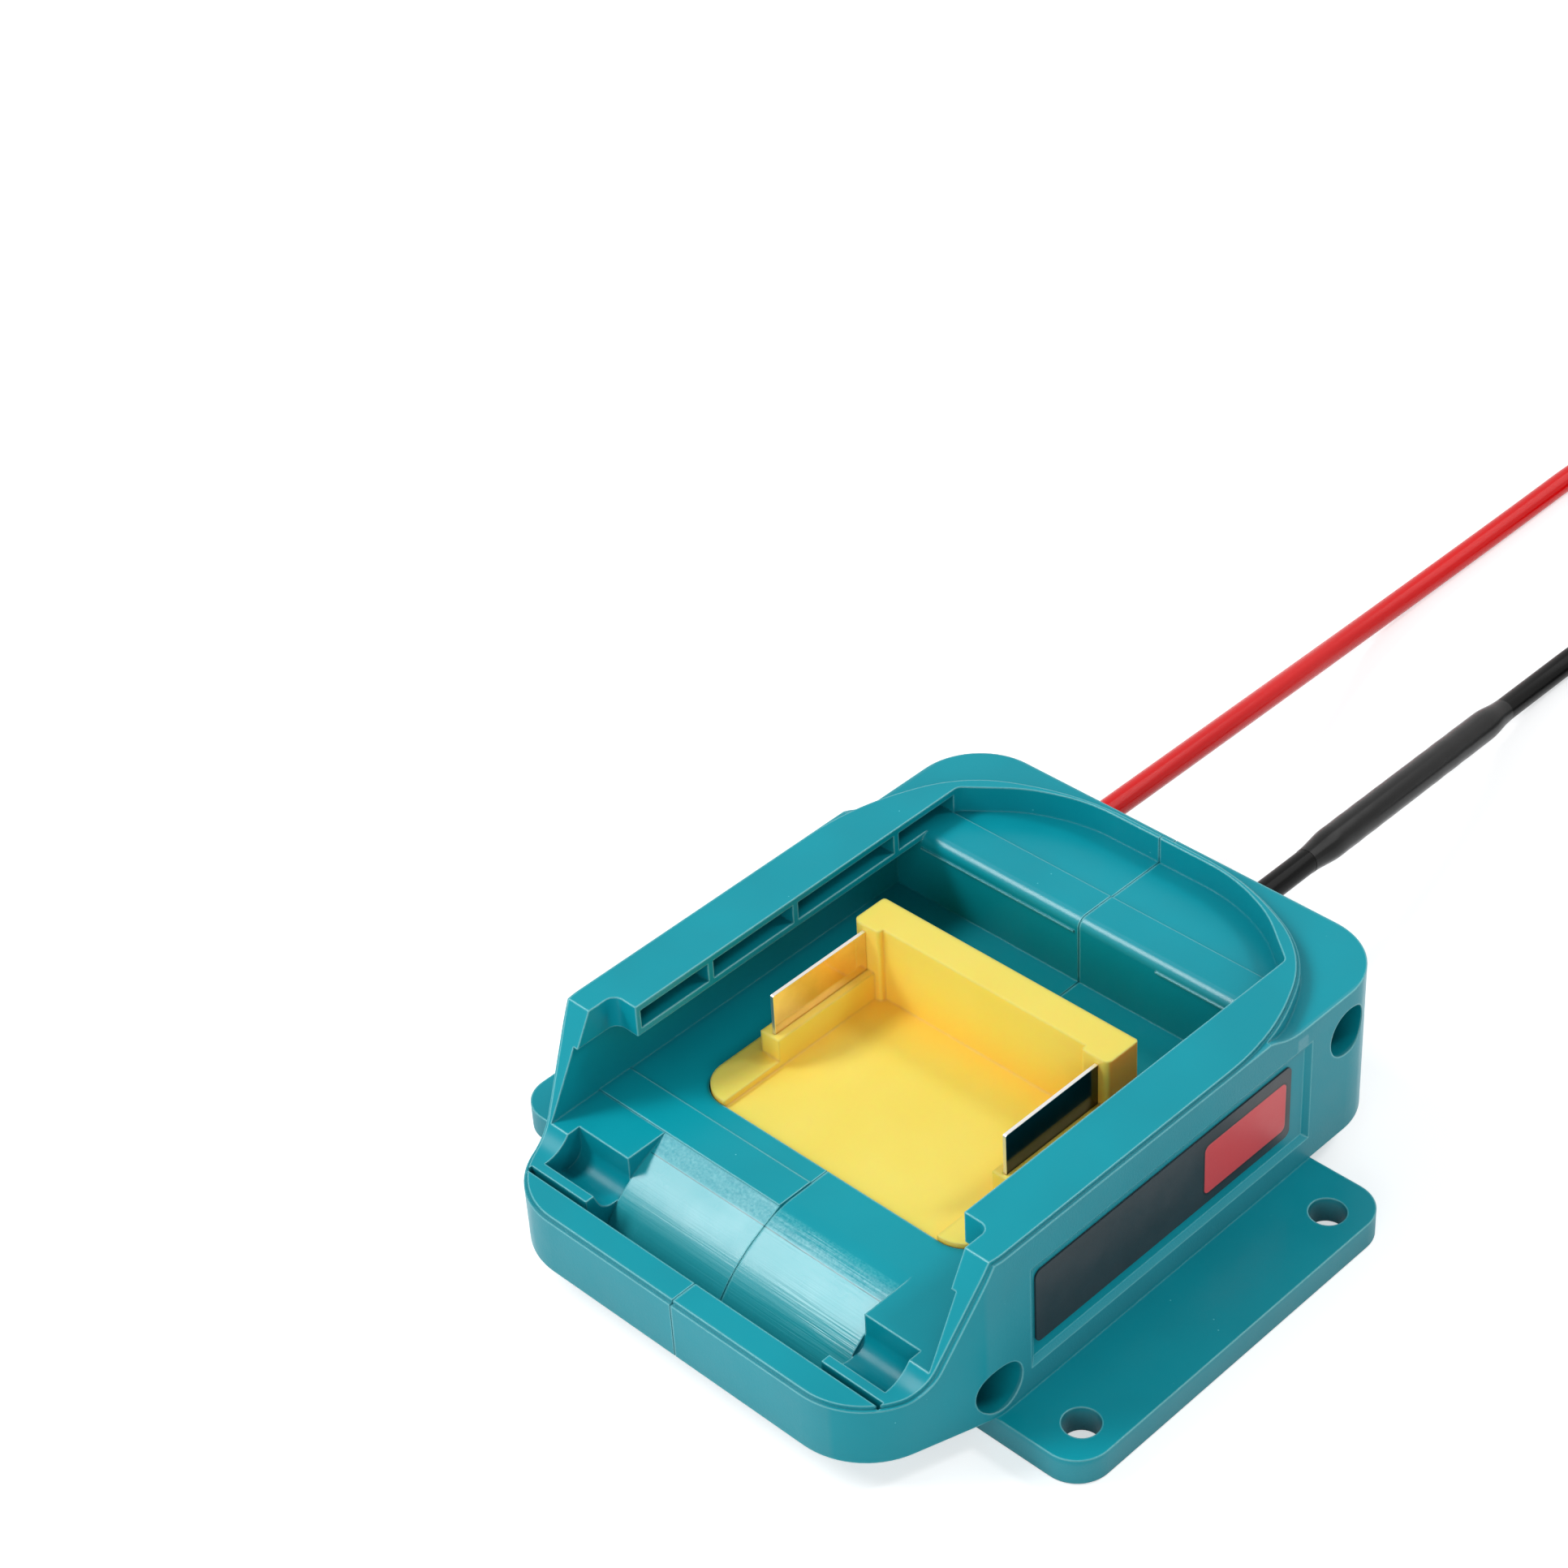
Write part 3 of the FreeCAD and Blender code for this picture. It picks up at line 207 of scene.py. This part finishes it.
class Tree:
    """Short calls for building one material's nodes."""

    def __init__(self, name):
        self.material = bpy.data.materials.new(name)
        self.material.use_nodes = True
        self.nodes = self.material.node_tree.nodes
        self.links = self.material.node_tree.links
        self.shader = self.nodes["Principled BSDF"]

    def add(self, kind, **options):
        return add_node(self.material.node_tree, kind, options)

    def feed(self, socket, value):
        if isinstance(value, bpy.types.NodeSocket):
            self.links.new(value, socket)
        else:
            socket.default_value = value

    def math(self, operation, first, second=0.0, third=None):
        node = self.add("Math", operation=operation)
        self.feed(node.inputs[0], first)
        self.feed(node.inputs[1], second)
        if third is not None:
            self.feed(node.inputs[2], third)
        return node.outputs[0]

    def place(self):
        return self.add("TexCoord").outputs["Object"]

    def axes(self, vector):
        node = self.add("SeparateXYZ")
        self.links.new(vector, node.inputs[0])
        return node.outputs

    def stretched(self, vector, scale):
        node = self.add("VectorMath", operation="MULTIPLY")
        self.links.new(vector, node.inputs[0])
        node.inputs[1].default_value = scale
        return node.outputs[0]

    def noise(self, vector, scale, detail=3.0, roughness=0.5):
        node = self.add("TexNoise")
        self.links.new(vector, node.inputs["Vector"])
        node.inputs["Scale"].default_value = scale
        node.inputs["Detail"].default_value = detail
        node.inputs["Roughness"].default_value = roughness
        return node.outputs["Fac"]

    def specks(self, vector, scale, size, rarity):
        """Sparse round dots: 1 inside a few of the cells, 0 elsewhere."""
        node = self.add("TexVoronoi")
        self.links.new(vector, node.inputs["Vector"])
        node.inputs["Scale"].default_value = scale
        dot = self.ramp(node.outputs["Distance"], size * 0.7, size, 1.0, 0.0)
        red = self.add("SeparateColor")
        self.links.new(node.outputs["Color"], red.inputs[0])
        return self.math("MULTIPLY", dot, self.math("GREATER_THAN", red.outputs[0], rarity))

    def ramp(self, value, low, high, start=0.0, end=1.0):
        node = self.add("MapRange")
        node.clamp = True
        self.feed(node.inputs["Value"], value)
        for key, amount in (("From Min", low), ("From Max", high),
                            ("To Min", start), ("To Max", end)):
            node.inputs[key].default_value = amount
        return node.outputs["Result"]

    def mix(self, share, first, second):
        node = self.add("Mix", data_type="RGBA")
        self.feed(node.inputs["Factor"], share)
        for socket, colour in ((node.inputs[6], first), (node.inputs[7], second)):
            if isinstance(colour, bpy.types.NodeSocket):
                self.links.new(colour, socket)
            else:
                socket.default_value = (*colour, 1.0)
        return node.outputs[2]

    def bump(self, height, distance, strength=1.0, before=None):
        node = self.add("Bump")
        self.feed(node.inputs["Height"], height)
        node.inputs["Distance"].default_value = distance
        self.feed(node.inputs["Strength"], strength)
        if before is not None:
            self.links.new(before, node.inputs["Normal"])
        return node.outputs["Normal"]

    def rounded(self, radius):
        """Normal that runs softly round the edges, as a mould leaves them."""
        node = self.add("Bevel", samples=4)
        node.inputs["Radius"].default_value = radius
        return node.outputs["Normal"]

    def edges(self, rounded):
        """1 along the edges that the rounded normal softens, 0 on the faces."""
        node = self.add("VectorMath", operation="DOT_PRODUCT")
        self.links.new(rounded, node.inputs[0])
        self.links.new(self.add("NewGeometry").outputs["Normal"], node.inputs[1])
        return self.ramp(node.outputs["Value"], 0.93, 0.998, 1.0, 0.0)

    def openness(self, reach):
        """1 on open faces and outer edges, lower in corners and slots."""
        node = self.add("AmbientOcclusion", samples=5)
        node.inputs["Distance"].default_value = reach
        return node.outputs["AO"]

    def within(self, value, low, high, soft):
        """1 between low and high, falling to 0 over soft outside them."""
        rise = self.ramp(value, low - soft, low)
        fall = self.ramp(value, high, high + soft, 1.0, 0.0)
        return self.math("MULTIPLY", rise, fall)

    def panel(self, along, up, low, high, corner):
        """Signed distance to a rounded rectangle in the plane of along and up."""
        parts = []
        for value, start, end in ((along, low[0], high[0]), (up, low[1], high[1])):
            off = self.math("ABSOLUTE", self.math("SUBTRACT", value, (start + end) / 2))
            parts.append(self.math("SUBTRACT", off, (end - start) / 2 - corner))
        outside = [self.math("MAXIMUM", part, 0.0) for part in parts]
        squares = [self.math("MULTIPLY", part, part) for part in outside]
        reach = self.math("SQRT", self.math("ADD", squares[0], squares[1]))
        deep = self.math("MINIMUM", self.math("MAXIMUM", parts[0], parts[1]), 0.0)
        return self.math("SUBTRACT", self.math("ADD", reach, deep), corner)

    def set(self, **values):
        for key, value in values.items():
            self.feed(self.shader.inputs[key.replace("_", " ")], value)


def housing_material():
    """Moulded teal plastic: satin faces, grained outer walls, streaked ramp."""
    tree = Tree("moulded_teal")
    place = tree.place()
    x, y, z = tree.axes(place)
    clouds = tree.noise(place, 60.0, 2.0)
    tint = tree.mix(tree.ramp(clouds, 0.35, 0.65), *TEAL)
    tint = tree.mix(tree.specks(place, 650.0, 0.075, 0.94), tint, TEAL_SPECK)
    soft = tree.rounded(0.00035)
    # painted highlight: open outer edges are painted paler; painted shade: corners, slots
    # and the deep cavity are painted darker
    bare = tree.openness(0.0012)
    edge = tree.math("MULTIPLY", tree.edges(soft), tree.ramp(bare, 0.72, 0.90))
    tint = tree.mix(tree.math("MULTIPLY", edge, 0.85), tint, TEAL_PAINTED_EDGE_HIGHLIGHT)
    # painted shade: the deep cavity, where little open space reaches, is painted darker teal
    deep = tree.ramp(tree.openness(0.020), 0.20, 0.80, 0.52, 0.0)
    tint = tree.mix(deep, tint, TEAL_PAINTED_SHADE)
    # outer walls, bevel and underside are grained, the rest is smoother
    side = tree.math("MULTIPLY", tree.ramp(tree.math("ABSOLUTE", x), *SIDE_WALL_X),
                     tree.ramp(z, *FLANGE_TOP_Z))
    ahead = tree.ramp(y, *FRONT_WALL_Y, 1.0, 0.0)
    behind = tree.ramp(y, *REAR_WALL_Y)
    under = tree.ramp(z, *UNDERSIDE_Z, 1.0, 0.0)
    grained = tree.math("MAXIMUM", tree.math("MAXIMUM", side, ahead),
                        tree.math("MAXIMUM", behind, under))
    # grey on the grained outer walls: partly their duller grained colour, partly a painted
    # reflection veil of the pale floor
    tint = tree.mix(tree.math("MULTIPLY", grained, 0.06), tint, GRAINED_GREY_AND_PAINTED_VEIL)
    grain = tree.noise(place, 3400.0, 2.0)
    strength = tree.math("ADD", tree.math("MULTIPLY", grained, 0.40), 0.07)
    normal = tree.bump(grain, 0.00006, strength, soft)
    # drawn streaks along the ramp behind the lip, stronger on the black side
    on_ramp = tree.math("MULTIPLY", tree.within(y, *RAMP_Y, MARK_BLUR),
                        tree.within(z, *RAMP_Z, MARK_BLUR))
    on_ramp = tree.math("MULTIPLY", on_ramp, tree.within(x, *RAMP_X, MARK_BLUR))
    streaks = tree.noise(tree.stretched(place, (45.0, 2200.0, 2200.0)), 1.0, 2.0, 0.6)
    patches = tree.noise(tree.stretched(place, (60.0, 190.0, 190.0)), 1.0, 1.0)
    drawn = tree.ramp(patches, 0.40, 0.60, 0.25, 1.0)
    drawn = tree.math("MULTIPLY", drawn, tree.ramp(x, -0.0040, 0.0060, 0.30, 0.8))
    normal = tree.bump(streaks, 0.00010, tree.math("MULTIPLY", on_ramp, drawn), normal)
    wear = tree.noise(place, 240.0, 2.0, 0.6)
    rough = tree.ramp(wear, 0.30, 0.75, 0.29, 0.36)
    rough = tree.math("ADD", rough, tree.math("MULTIPLY", grained, 0.12))
    rough = tree.math("SUBTRACT", rough, tree.math("MULTIPLY", on_ramp, 0.06))
    # the band under the crest is duller and mottled; the fine dark line below it is painted
    # shade of the crease
    crest = tree.ramp(y, *CREST_Y)
    smooth_ramp = tree.math("MULTIPLY", on_ramp, tree.math("SUBTRACT", 1.0, crest))
    # painted highlight: the smooth part of the ramp below the crest is painted paler,
    # standing in for the lamp's reflection
    tint = tree.mix(tree.math("MULTIPLY", smooth_ramp, 0.32), tint, TEAL_PAINTED_RAMP_HIGHLIGHT)
    mottle = tree.ramp(tree.noise(place, 2800.0, 2.0, 0.6), 0.35, 0.68)
    dull = tree.math("MULTIPLY", tree.math("MULTIPLY", on_ramp, crest), mottle)
    tint = tree.mix(tree.math("MULTIPLY", dull, 0.35), tint, TEAL_MOTTLE)
    # painted shade: a thin dark line along the crease below the crest
    line = tree.math("MULTIPLY", on_ramp, tree.within(y, *CREST_LINE_Y, MARK_BLUR / 4))
    tint = tree.mix(tree.math("MULTIPLY", line, 0.75), tint, TEAL_PAINTED_CREASE_SHADE)
    shine = tree.math("MULTIPLY", smooth_ramp, tree.ramp(patches, 0.35, 0.65, 0.40, 0.62))
    shine = tree.math("MAXIMUM", shine, tree.math("MULTIPLY", dull, 0.25))
    # the shelf's front round and the rubbed edges are polished
    nosing = tree.math("MULTIPLY", tree.within(y, *NOSING_Y, MARK_BLUR),
                       tree.within(z, *NOSING_Z, MARK_BLUR))
    shine = tree.math("MAXIMUM", shine, tree.math("MULTIPLY", nosing, 0.50))
    shine = tree.math("MAXIMUM", shine, tree.math("MULTIPLY", edge, 0.40))
    tree.set(Base_Color=tint, Roughness=rough, Normal=normal, IOR=1.49, Coat_Weight=shine,
             Coat_Normal=normal)
    tree.shader.inputs["Specular IOR Level"].default_value = 0.22
    tree.shader.inputs["Coat Roughness"].default_value = 0.24
    tree.shader.inputs["Coat IOR"].default_value = 1.5
    return tree.material


def terminal_material():
    """Smooth yellow plastic that lets a little light in."""
    tree = Tree("moulded_yellow")
    place = tree.place()
    clouds = tree.noise(place, 70.0, 2.0)
    tint = tree.mix(tree.ramp(clouds, 0.35, 0.65), *YELLOW)
    fine = tree.noise(place, 2800.0, 2.0)
    soft = tree.rounded(0.0006)
    # painted highlight: the block's rounded edges are painted paler
    tint = tree.mix(tree.math("MULTIPLY", tree.edges(soft), 0.3), tint, YELLOW_PAINTED_EDGE_HIGHLIGHT)
    # painted shade: corners and hollows of the block are painted a deeper orange
    deep = tree.ramp(tree.openness(0.009), 0.40, 0.90, 0.60, 0.0)
    tint = tree.mix(deep, tint, YELLOW_PAINTED_SHADE)
    # painted shade: the outer end faces beside the rails, which face along x, are painted a
    # deeper orange
    facing = tree.axes(tree.add("NewGeometry").outputs["Normal"])[0]
    shaded_ends = tree.math("MULTIPLY", tree.ramp(tree.math("ABSOLUTE", facing), 0.70, 0.95),
                     tree.ramp(tree.math("ABSOLUTE", tree.axes(place)[0]), *BLOCK_ENDS_X))
    tint = tree.mix(tree.math("MULTIPLY", shaded_ends, 0.70), tint, YELLOW_PAINTED_SIDE_SHADE)
    normal = tree.bump(fine, 0.00004, 0.12, soft)
    rough = tree.ramp(tree.noise(place, 320.0, 2.0), 0.3, 0.7, 0.33, 0.38)
    tree.set(Base_Color=tint, Roughness=rough, Normal=normal, IOR=1.5,
             Subsurface_Weight=0.4, Subsurface_Scale=0.0020)
    tree.shader.inputs["Specular IOR Level"].default_value = 0.35
    tree.shader.inputs["Subsurface Radius"].default_value = (1.0, 0.45, 0.12)
    return tree.material


def metal_material(name, colour, low, high, stretch, scratch, sheared=False):
    """Rolled or drawn metal with fine lines and cloudy tarnish; sheared gives pale edges."""
    tree = Tree(name)
    place = tree.place()
    clouds = tree.noise(place, 220.0, 3.0)
    dim = tuple(part * TARNISH for part in colour)
    tint = tree.mix(tree.ramp(clouds, 0.35, 0.7), dim, colour)
    lines = tree.noise(tree.stretched(place, stretch), 1.0, 3.0, 0.6)
    normal = tree.bump(lines, 0.00002, scratch)
    rough = tree.ramp(tree.noise(place, 700.0, 3.0), 0.3, 0.7, low, high)
    if sheared:
        _, y, z = tree.axes(place)
        near, far = SHEARED_EDGE
        top = tree.ramp(z, BLADE_TOP - far, BLADE_TOP - near)
        front = tree.ramp(y, BLADE_FRONT + near, BLADE_FRONT + far, 1.0, 0.0)
        edge = tree.math("MAXIMUM", top, front)
        tint = tree.mix(edge, tint, SHEARED)
        rough = tree.math("ADD", rough, tree.math("MULTIPLY", edge, 0.25))
    tree.set(Base_Color=tint, Roughness=rough, Normal=normal, Metallic=1.0)
    return tree.material


def insulation_material(name, colour, lighter, low, high, gloss):
    """Soft extruded insulation with slow changes of tint and gloss and a fine grain."""
    tree = Tree(name)
    place = tree.place()
    across, along, _ = tree.axes(place)
    sway = tree.math("SINE", tree.math("MULTIPLY_ADD", along, 130.0, across))
    slant = tree.math("MULTIPLY", across, 190.0)
    swell = tree.math("SINE", tree.math("MULTIPLY_ADD", along, 55.0, slant))
    tint = tree.mix(tree.ramp(sway, -1.0, 1.0), colour, lighter)
    fine = tree.noise(place, 4200.0, 1.0)
    normal = tree.bump(fine, 0.00002, 0.04, tree.bump(swell, 0.0003, 0.04))
    rough = tree.ramp(swell, -1.0, 1.0, low, high)
    tree.set(Base_Color=tint, Roughness=rough, Normal=normal, IOR=1.43)
    tree.shader.inputs["Specular IOR Level"].default_value = gloss
    return tree.material


# Where the printed panels lie on the labels, as (y, z) corners
RED_PANEL = ((0.0098, 0.0124), (0.0261, 0.0205))
WHITE_PANELS = (
    ((-0.0222, 0.0128), (-0.0128, 0.0200)),
    ((-0.0094, 0.0128), (0.0000, 0.0200)),
    ((0.0034, 0.0128), (0.0128, 0.0200)),
    ((0.0162, 0.0128), (0.0256, 0.0200)),
)


def label_material(name, panels, panel_colour):
    """Printed film: slate ground, plain panels with dark outlines, soft sheen."""
    tree = Tree(name)
    place = tree.place()
    _, y, z = tree.axes(place)
    clouds = tree.noise(place, 120.0, 3.0)
    colour = tree.mix(tree.ramp(clouds, 0.35, 0.7), *SLATE)
    raised = None
    for low, high in panels:
        gap = tree.panel(y, z, low, high, PANEL_CORNER)
        ink = tree.ramp(gap, -0.00006, 0.00006, 1.0, 0.0)
        rim = tree.ramp(gap, 0.00028, 0.00040, 1.0, 0.0)
        colour = tree.mix(rim, colour, PANEL_RIM)
        colour = tree.mix(ink, colour, panel_colour)
        raised = ink if raised is None else tree.math("MAXIMUM", raised, ink)
    fibre = tree.noise(place, 2600.0, 3.0)
    normal = tree.bump(fibre, 0.00003, 0.25)
    normal = tree.bump(raised, 0.00004, 0.5, normal)
    rough = tree.ramp(tree.noise(place, 260.0, 3.0), 0.3, 0.7, 0.30, 0.42)
    tree.set(Base_Color=colour, Roughness=rough, Normal=normal, IOR=1.47)
    return tree.material


MATERIALS = {
    "housing": housing_material(),
    "terminal_plastic": terminal_material(),
    "contact_metal": metal_material("plated_strip", (0.95, 0.77, 0.62), 0.06, 0.10,
                                    (2400.0, 120.0, 2400.0), 0.2, sheared=True),
    "dark_contact": metal_material("dark_plated_strip", (0.10, 0.11, 0.12), 0.09, 0.15,
                                   (2400.0, 120.0, 2400.0), 0.2, sheared=True),
    "screw_steel": metal_material("zinc_steel", (0.50, 0.51, 0.54), 0.22, 0.36,
                                  (400.0, 1800.0, 1800.0), 0.5),
    "tinned_copper": metal_material("tinned_strand", (0.74, 0.73, 0.70), 0.22, 0.34,
                                    (1500.0, 1500.0, 1500.0), 0.4),
    "solder": metal_material("cooled_solder", (0.62, 0.62, 0.62), 0.26, 0.42,
                             (900.0, 900.0, 900.0), 0.6),
    "red_insulation": insulation_material("red_silicone", (0.78, 0.004, 0.005),
                                          (0.82, 0.006, 0.007), 0.20, 0.26, 0.24),
    "black_insulation": insulation_material("black_silicone", (0.003, 0.003, 0.003),
                                            (0.005, 0.005, 0.005), 0.20, 0.26, 0.10),
    "black_sleeve": insulation_material("shrunk_sleeve", (0.005, 0.005, 0.005),
                                        (0.007, 0.007, 0.007), 0.22, 0.28, 0.22),
}
OWN_FINISH = {
    "negative_blade": MATERIALS["dark_contact"],
    "voltage_label": label_material("label_red_panel", [RED_PANEL], (0.80, 0.075, 0.085)),
    "icon_label": label_material("label_white_panels", WHITE_PANELS, (0.80, 0.80, 0.79)),
}

SLOT_OF = {row["node"]: row["material_slot"] for row in frame["record"]["subparts"]}
for name, piece in nodes_of.items():
    finish = OWN_FINISH.get(name) or MATERIALS[SLOT_OF[name]]
    for slot in piece.material_slots:
        slot.link = "OBJECT"
        slot.material = finish


def finish_piece(work, name, finish):
    """Turns the mesh being built into a piece of the part, in the material named."""
    data = bpy.data.meshes.new(name)
    work.to_mesh(data)
    work.free()
    piece = bpy.data.objects.new(name, data)
    scene.collection.objects.link(piece)
    data.materials.append(MATERIALS[finish])
    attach(piece, "root")
    return piece


def seam_tongue(inset, thickness):
    """Thin tongue that closes the seam just under the surface of both halves."""
    work = bmesh.new()
    work.from_mesh(nodes_of["housing_half_black_side"].data)
    bmesh.ops.remove_doubles(work, verts=work.verts, dist=SAME_PLACE)
    other = [face for face in work.faces
             if max(abs(vertex.co.x - SEAM_FACE_X) for vertex in face.verts) > SAME_PLACE]
    bmesh.ops.delete(work, geom=other, context="FACES")
    bmesh.ops.dissolve_limit(work, angle_limit=0.01, verts=work.verts, edges=work.edges)
    inner = list(work.faces)
    bmesh.ops.inset_region(work, faces=inner, thickness=inset, use_boundary=True)
    rim = [face for face in work.faces if face not in set(inner)]
    bmesh.ops.delete(work, geom=rim, context="FACES")
    for vertex in work.verts:
        vertex.co.x = -thickness / 2
    bmesh.ops.solidify(work, geom=work.faces, thickness=thickness)
    finish_piece(work, "seam_tongue", "housing")


seam_tongue(TONGUE_INSET, TONGUE_THICKNESS)


def cord_curve(name, points, radius):
    """Round lead along a smooth curve through the route's control points."""
    data = bpy.data.curves.new(name, "CURVE")
    data.dimensions = "3D"
    data.resolution_u = CORD_RINGS
    data.bevel_depth = radius
    data.bevel_resolution = CORD_BEVEL_STEPS
    data.use_fill_caps = True
    spline = data.splines.new("NURBS")
    spline.points.add(len(points) - 1)
    for point, spot in zip(spline.points, points):
        point.co = (*spot, 1.0)
    spline.order_u = 3
    spline.use_endpoint_u = True
    piece = bpy.data.objects.new(name, data)
    scene.collection.objects.link(piece)
    return piece


def centreline(piece):
    """Points of the cord's own spline, read without its thickness."""
    data = piece.data.copy()
    data.bevel_depth = 0.0
    bare = bpy.data.objects.new(piece.name + "_line", data)
    line = bpy.data.meshes.new_from_object(bare)
    spots = [vertex.co.copy() for vertex in line.vertices]
    bpy.data.objects.remove(bare)
    bpy.data.meshes.remove(line)
    return spots


def sweep(work, spots, radii, sides):
    """Adds a closed tube through the points to the mesh being built."""
    rings = []
    side_way = None
    for index, spot in enumerate(spots):
        ahead = spots[min(index + 1, len(spots) - 1)] - spots[max(index - 1, 0)]
        ahead.normalize()
        if side_way is None:
            side_way = ahead.orthogonal()
        side_way = (side_way - ahead * side_way.dot(ahead)).normalized()
        up_way = ahead.cross(side_way)
        ring = []
        for step in range(sides):
            turn = 2 * math.pi * step / sides
            out = side_way * math.cos(turn) + up_way * math.sin(turn)
            ring.append(work.verts.new(spot + out * radii[index]))
        rings.append(ring)
    for first, second in zip(rings, rings[1:]):
        for step in range(sides):
            after = (step + 1) % sides
            corners = (first[step], first[after], second[after], second[step])
            work.faces.new(corners).smooth = True
    for ring in (list(reversed(rings[0])), rings[-1]):
        for edge in work.faces.new(ring).edges:
            edge.smooth = False


def shrunk_sleeve(line, start, end, low, full, taper):
    """Sleeve between two places on the wire, drawn in smoothly at both ends."""
    spots = []
    runs = []
    run = 0.0
    for before, spot in zip(line, line[1:]):
        run += (spot - before).length
        turned_back = bool(spots) and spots[-1].y > spot.y
        if start <= spot.y <= end and not turned_back:
            spots.append(spot)
            runs.append(run)
    radii = []
    for run in runs:
        along = run - runs[0]
        share = min(along, runs[-1] - runs[0] - along, taper) / taper
        ease = share * share * (3 - 2 * share)
        ripple = (SLEEVE_RIPPLE * math.sin(along * RIPPLE_FAST)
                  * math.sin(along * RIPPLE_SLOW + 1.0))
        radii.append(low + (full - low) * ease + ripple * ease)
    work = bmesh.new()
    sweep(work, spots, radii, SLEEVE_SIDES)
    return finish_piece(work, "black_sleeve_shrunk", "black_sleeve")


def bare_strands(name, tip, behind, length):
    """Twisted tinned strands that stand out of the insulation."""
    ahead = (Vector(tip) - Vector(behind)).normalized()
    side_way = ahead.orthogonal().normalized()
    up_way = ahead.cross(side_way)
    work = bmesh.new()
    for count, reach, twist in STRAND_LAYERS:
        for strand in range(count):
            spots = []
            for step in range(STRAND_STEPS + 1):
                share = step / STRAND_STEPS
                turn = 2 * math.pi * (strand / count + twist * share * STRAND_TURNS)
                out = side_way * math.cos(turn) + up_way * math.sin(turn)
                forward = ahead * (length * share - STRAND_OVERLAP)
                spots.append(Vector(tip) + forward + out * reach)
            sweep(work, spots, [STRAND_RADIUS] * len(spots), STRAND_SIDES)
    return finish_piece(work, name, "tinned_copper")


red_cord = cord_curve("red_lead", RED_ROUTE, WIRE_RADIUS)
black_cord = cord_curve("black_lead", BLACK_ROUTE, WIRE_RADIUS)
red_cord.data.materials.append(MATERIALS["red_insulation"])
black_cord.data.materials.append(MATERIALS["black_insulation"])
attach(red_cord, "root")
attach(black_cord, "root")
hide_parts("red_wire")
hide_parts("black_wire_near", "black_wire_sleeved", "black_wire_far")
sleeve_low, sleeve_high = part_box("black_splice_sleeve")
sleeve = shrunk_sleeve(centreline(black_cord), sleeve_low[1] + SLEEVE_SHORTER,
                       sleeve_high[1] - SLEEVE_SHORTER, WIRE_RADIUS + SLEEVE_SKIN,
                       SLEEVE_RADIUS, SLEEVE_TAPER)
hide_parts("black_splice_sleeve")
red_strands = bare_strands("red_strands", RED_ROUTE[-1], RED_ROUTE[-2], BARE_LENGTH)
black_strands = bare_strands("black_strands", BLACK_ROUTE[-1], BLACK_ROUTE[-2], BARE_LENGTH)
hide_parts("red_bare_end")
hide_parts("black_bare_end")


def seen_rays(tree, add):
    """1 for camera, glossy and transmission rays, 0 for the light on the part."""
    path = add("LightPath")
    both = add("Math", operation="MAXIMUM")
    tree.links.new(path.outputs["Is Camera Ray"], both.inputs[0])
    tree.links.new(path.outputs["Is Glossy Ray"], both.inputs[1])
    every = add("Math", operation="MAXIMUM")
    tree.links.new(both.outputs[0], every.inputs[0])
    tree.links.new(path.outputs["Is Transmission Ray"], every.inputs[1])
    return every.outputs[0]


def floor_material():
    """Pale floor, seen as white where it is lit, that keeps the part's shadow."""
    tree = Tree("pale_floor")
    place = tree.place()
    cloud = tree.noise(place, 6.0, 1.0)
    tint = tree.mix(tree.ramp(cloud, 0.3, 0.7), *FLOOR_GREY)
    away = tree.add("VectorMath", operation="LENGTH")
    tree.links.new(place, away.inputs[0])
    lift = tree.ramp(away.outputs["Value"], *FAR_FLOOR, FLOOR_LIFT, FAR_LIFT)
    seen = seen_rays(tree.material.node_tree, tree.add)
    tree.set(Base_Color=tint, Roughness=0.9, Emission_Color=FLOOR_GLOW,
             Emission_Strength=tree.math("MULTIPLY", seen, lift))
    tree.shader.inputs["Specular IOR Level"].default_value = 0.1
    return tree.material


bpy.ops.mesh.primitive_plane_add(size=FLOOR_SIZE, location=(0, 0, -FLOOR_BELOW))
floor = bpy.context.object
floor.name = "floor"
floor.data.materials.append(floor_material())

world = bpy.data.worlds.new("studio")
scene.world = world
world.use_nodes = True
sky = world.node_tree
level = sky.nodes.new("ShaderNodeMapRange")
sky.links.new(seen_rays(sky, lambda kind, **options: add_node(sky, kind, options)),
              level.inputs["Value"])
level.inputs["To Min"].default_value = AMBIENT
level.inputs["To Max"].default_value = 1.0
background = sky.nodes["Background"]
background.inputs["Color"].default_value = (1.0, 1.0, 1.0, 1.0)
sky.links.new(level.outputs["Result"], background.inputs["Strength"])


def lamp(name, spot, size, power, along):
    """Soft box that faces the part, with its width along the given direction."""
    data = bpy.data.lights.new(name, "AREA")
    data.shape = "RECTANGLE"
    data.size = size[0]
    data.size_y = size[1]
    data.energy = power
    piece = bpy.data.objects.new(name, data)
    scene.collection.objects.link(piece)
    back = Vector(spot).normalized()
    wide = Vector(along)
    wide = (wide - back * wide.dot(back)).normalized()
    turn = Matrix((wide, back.cross(wide), back)).transposed()
    piece.matrix_world = Matrix.Translation(spot) @ turn.to_4x4()


for row in LAMPS:
    lamp(*row)
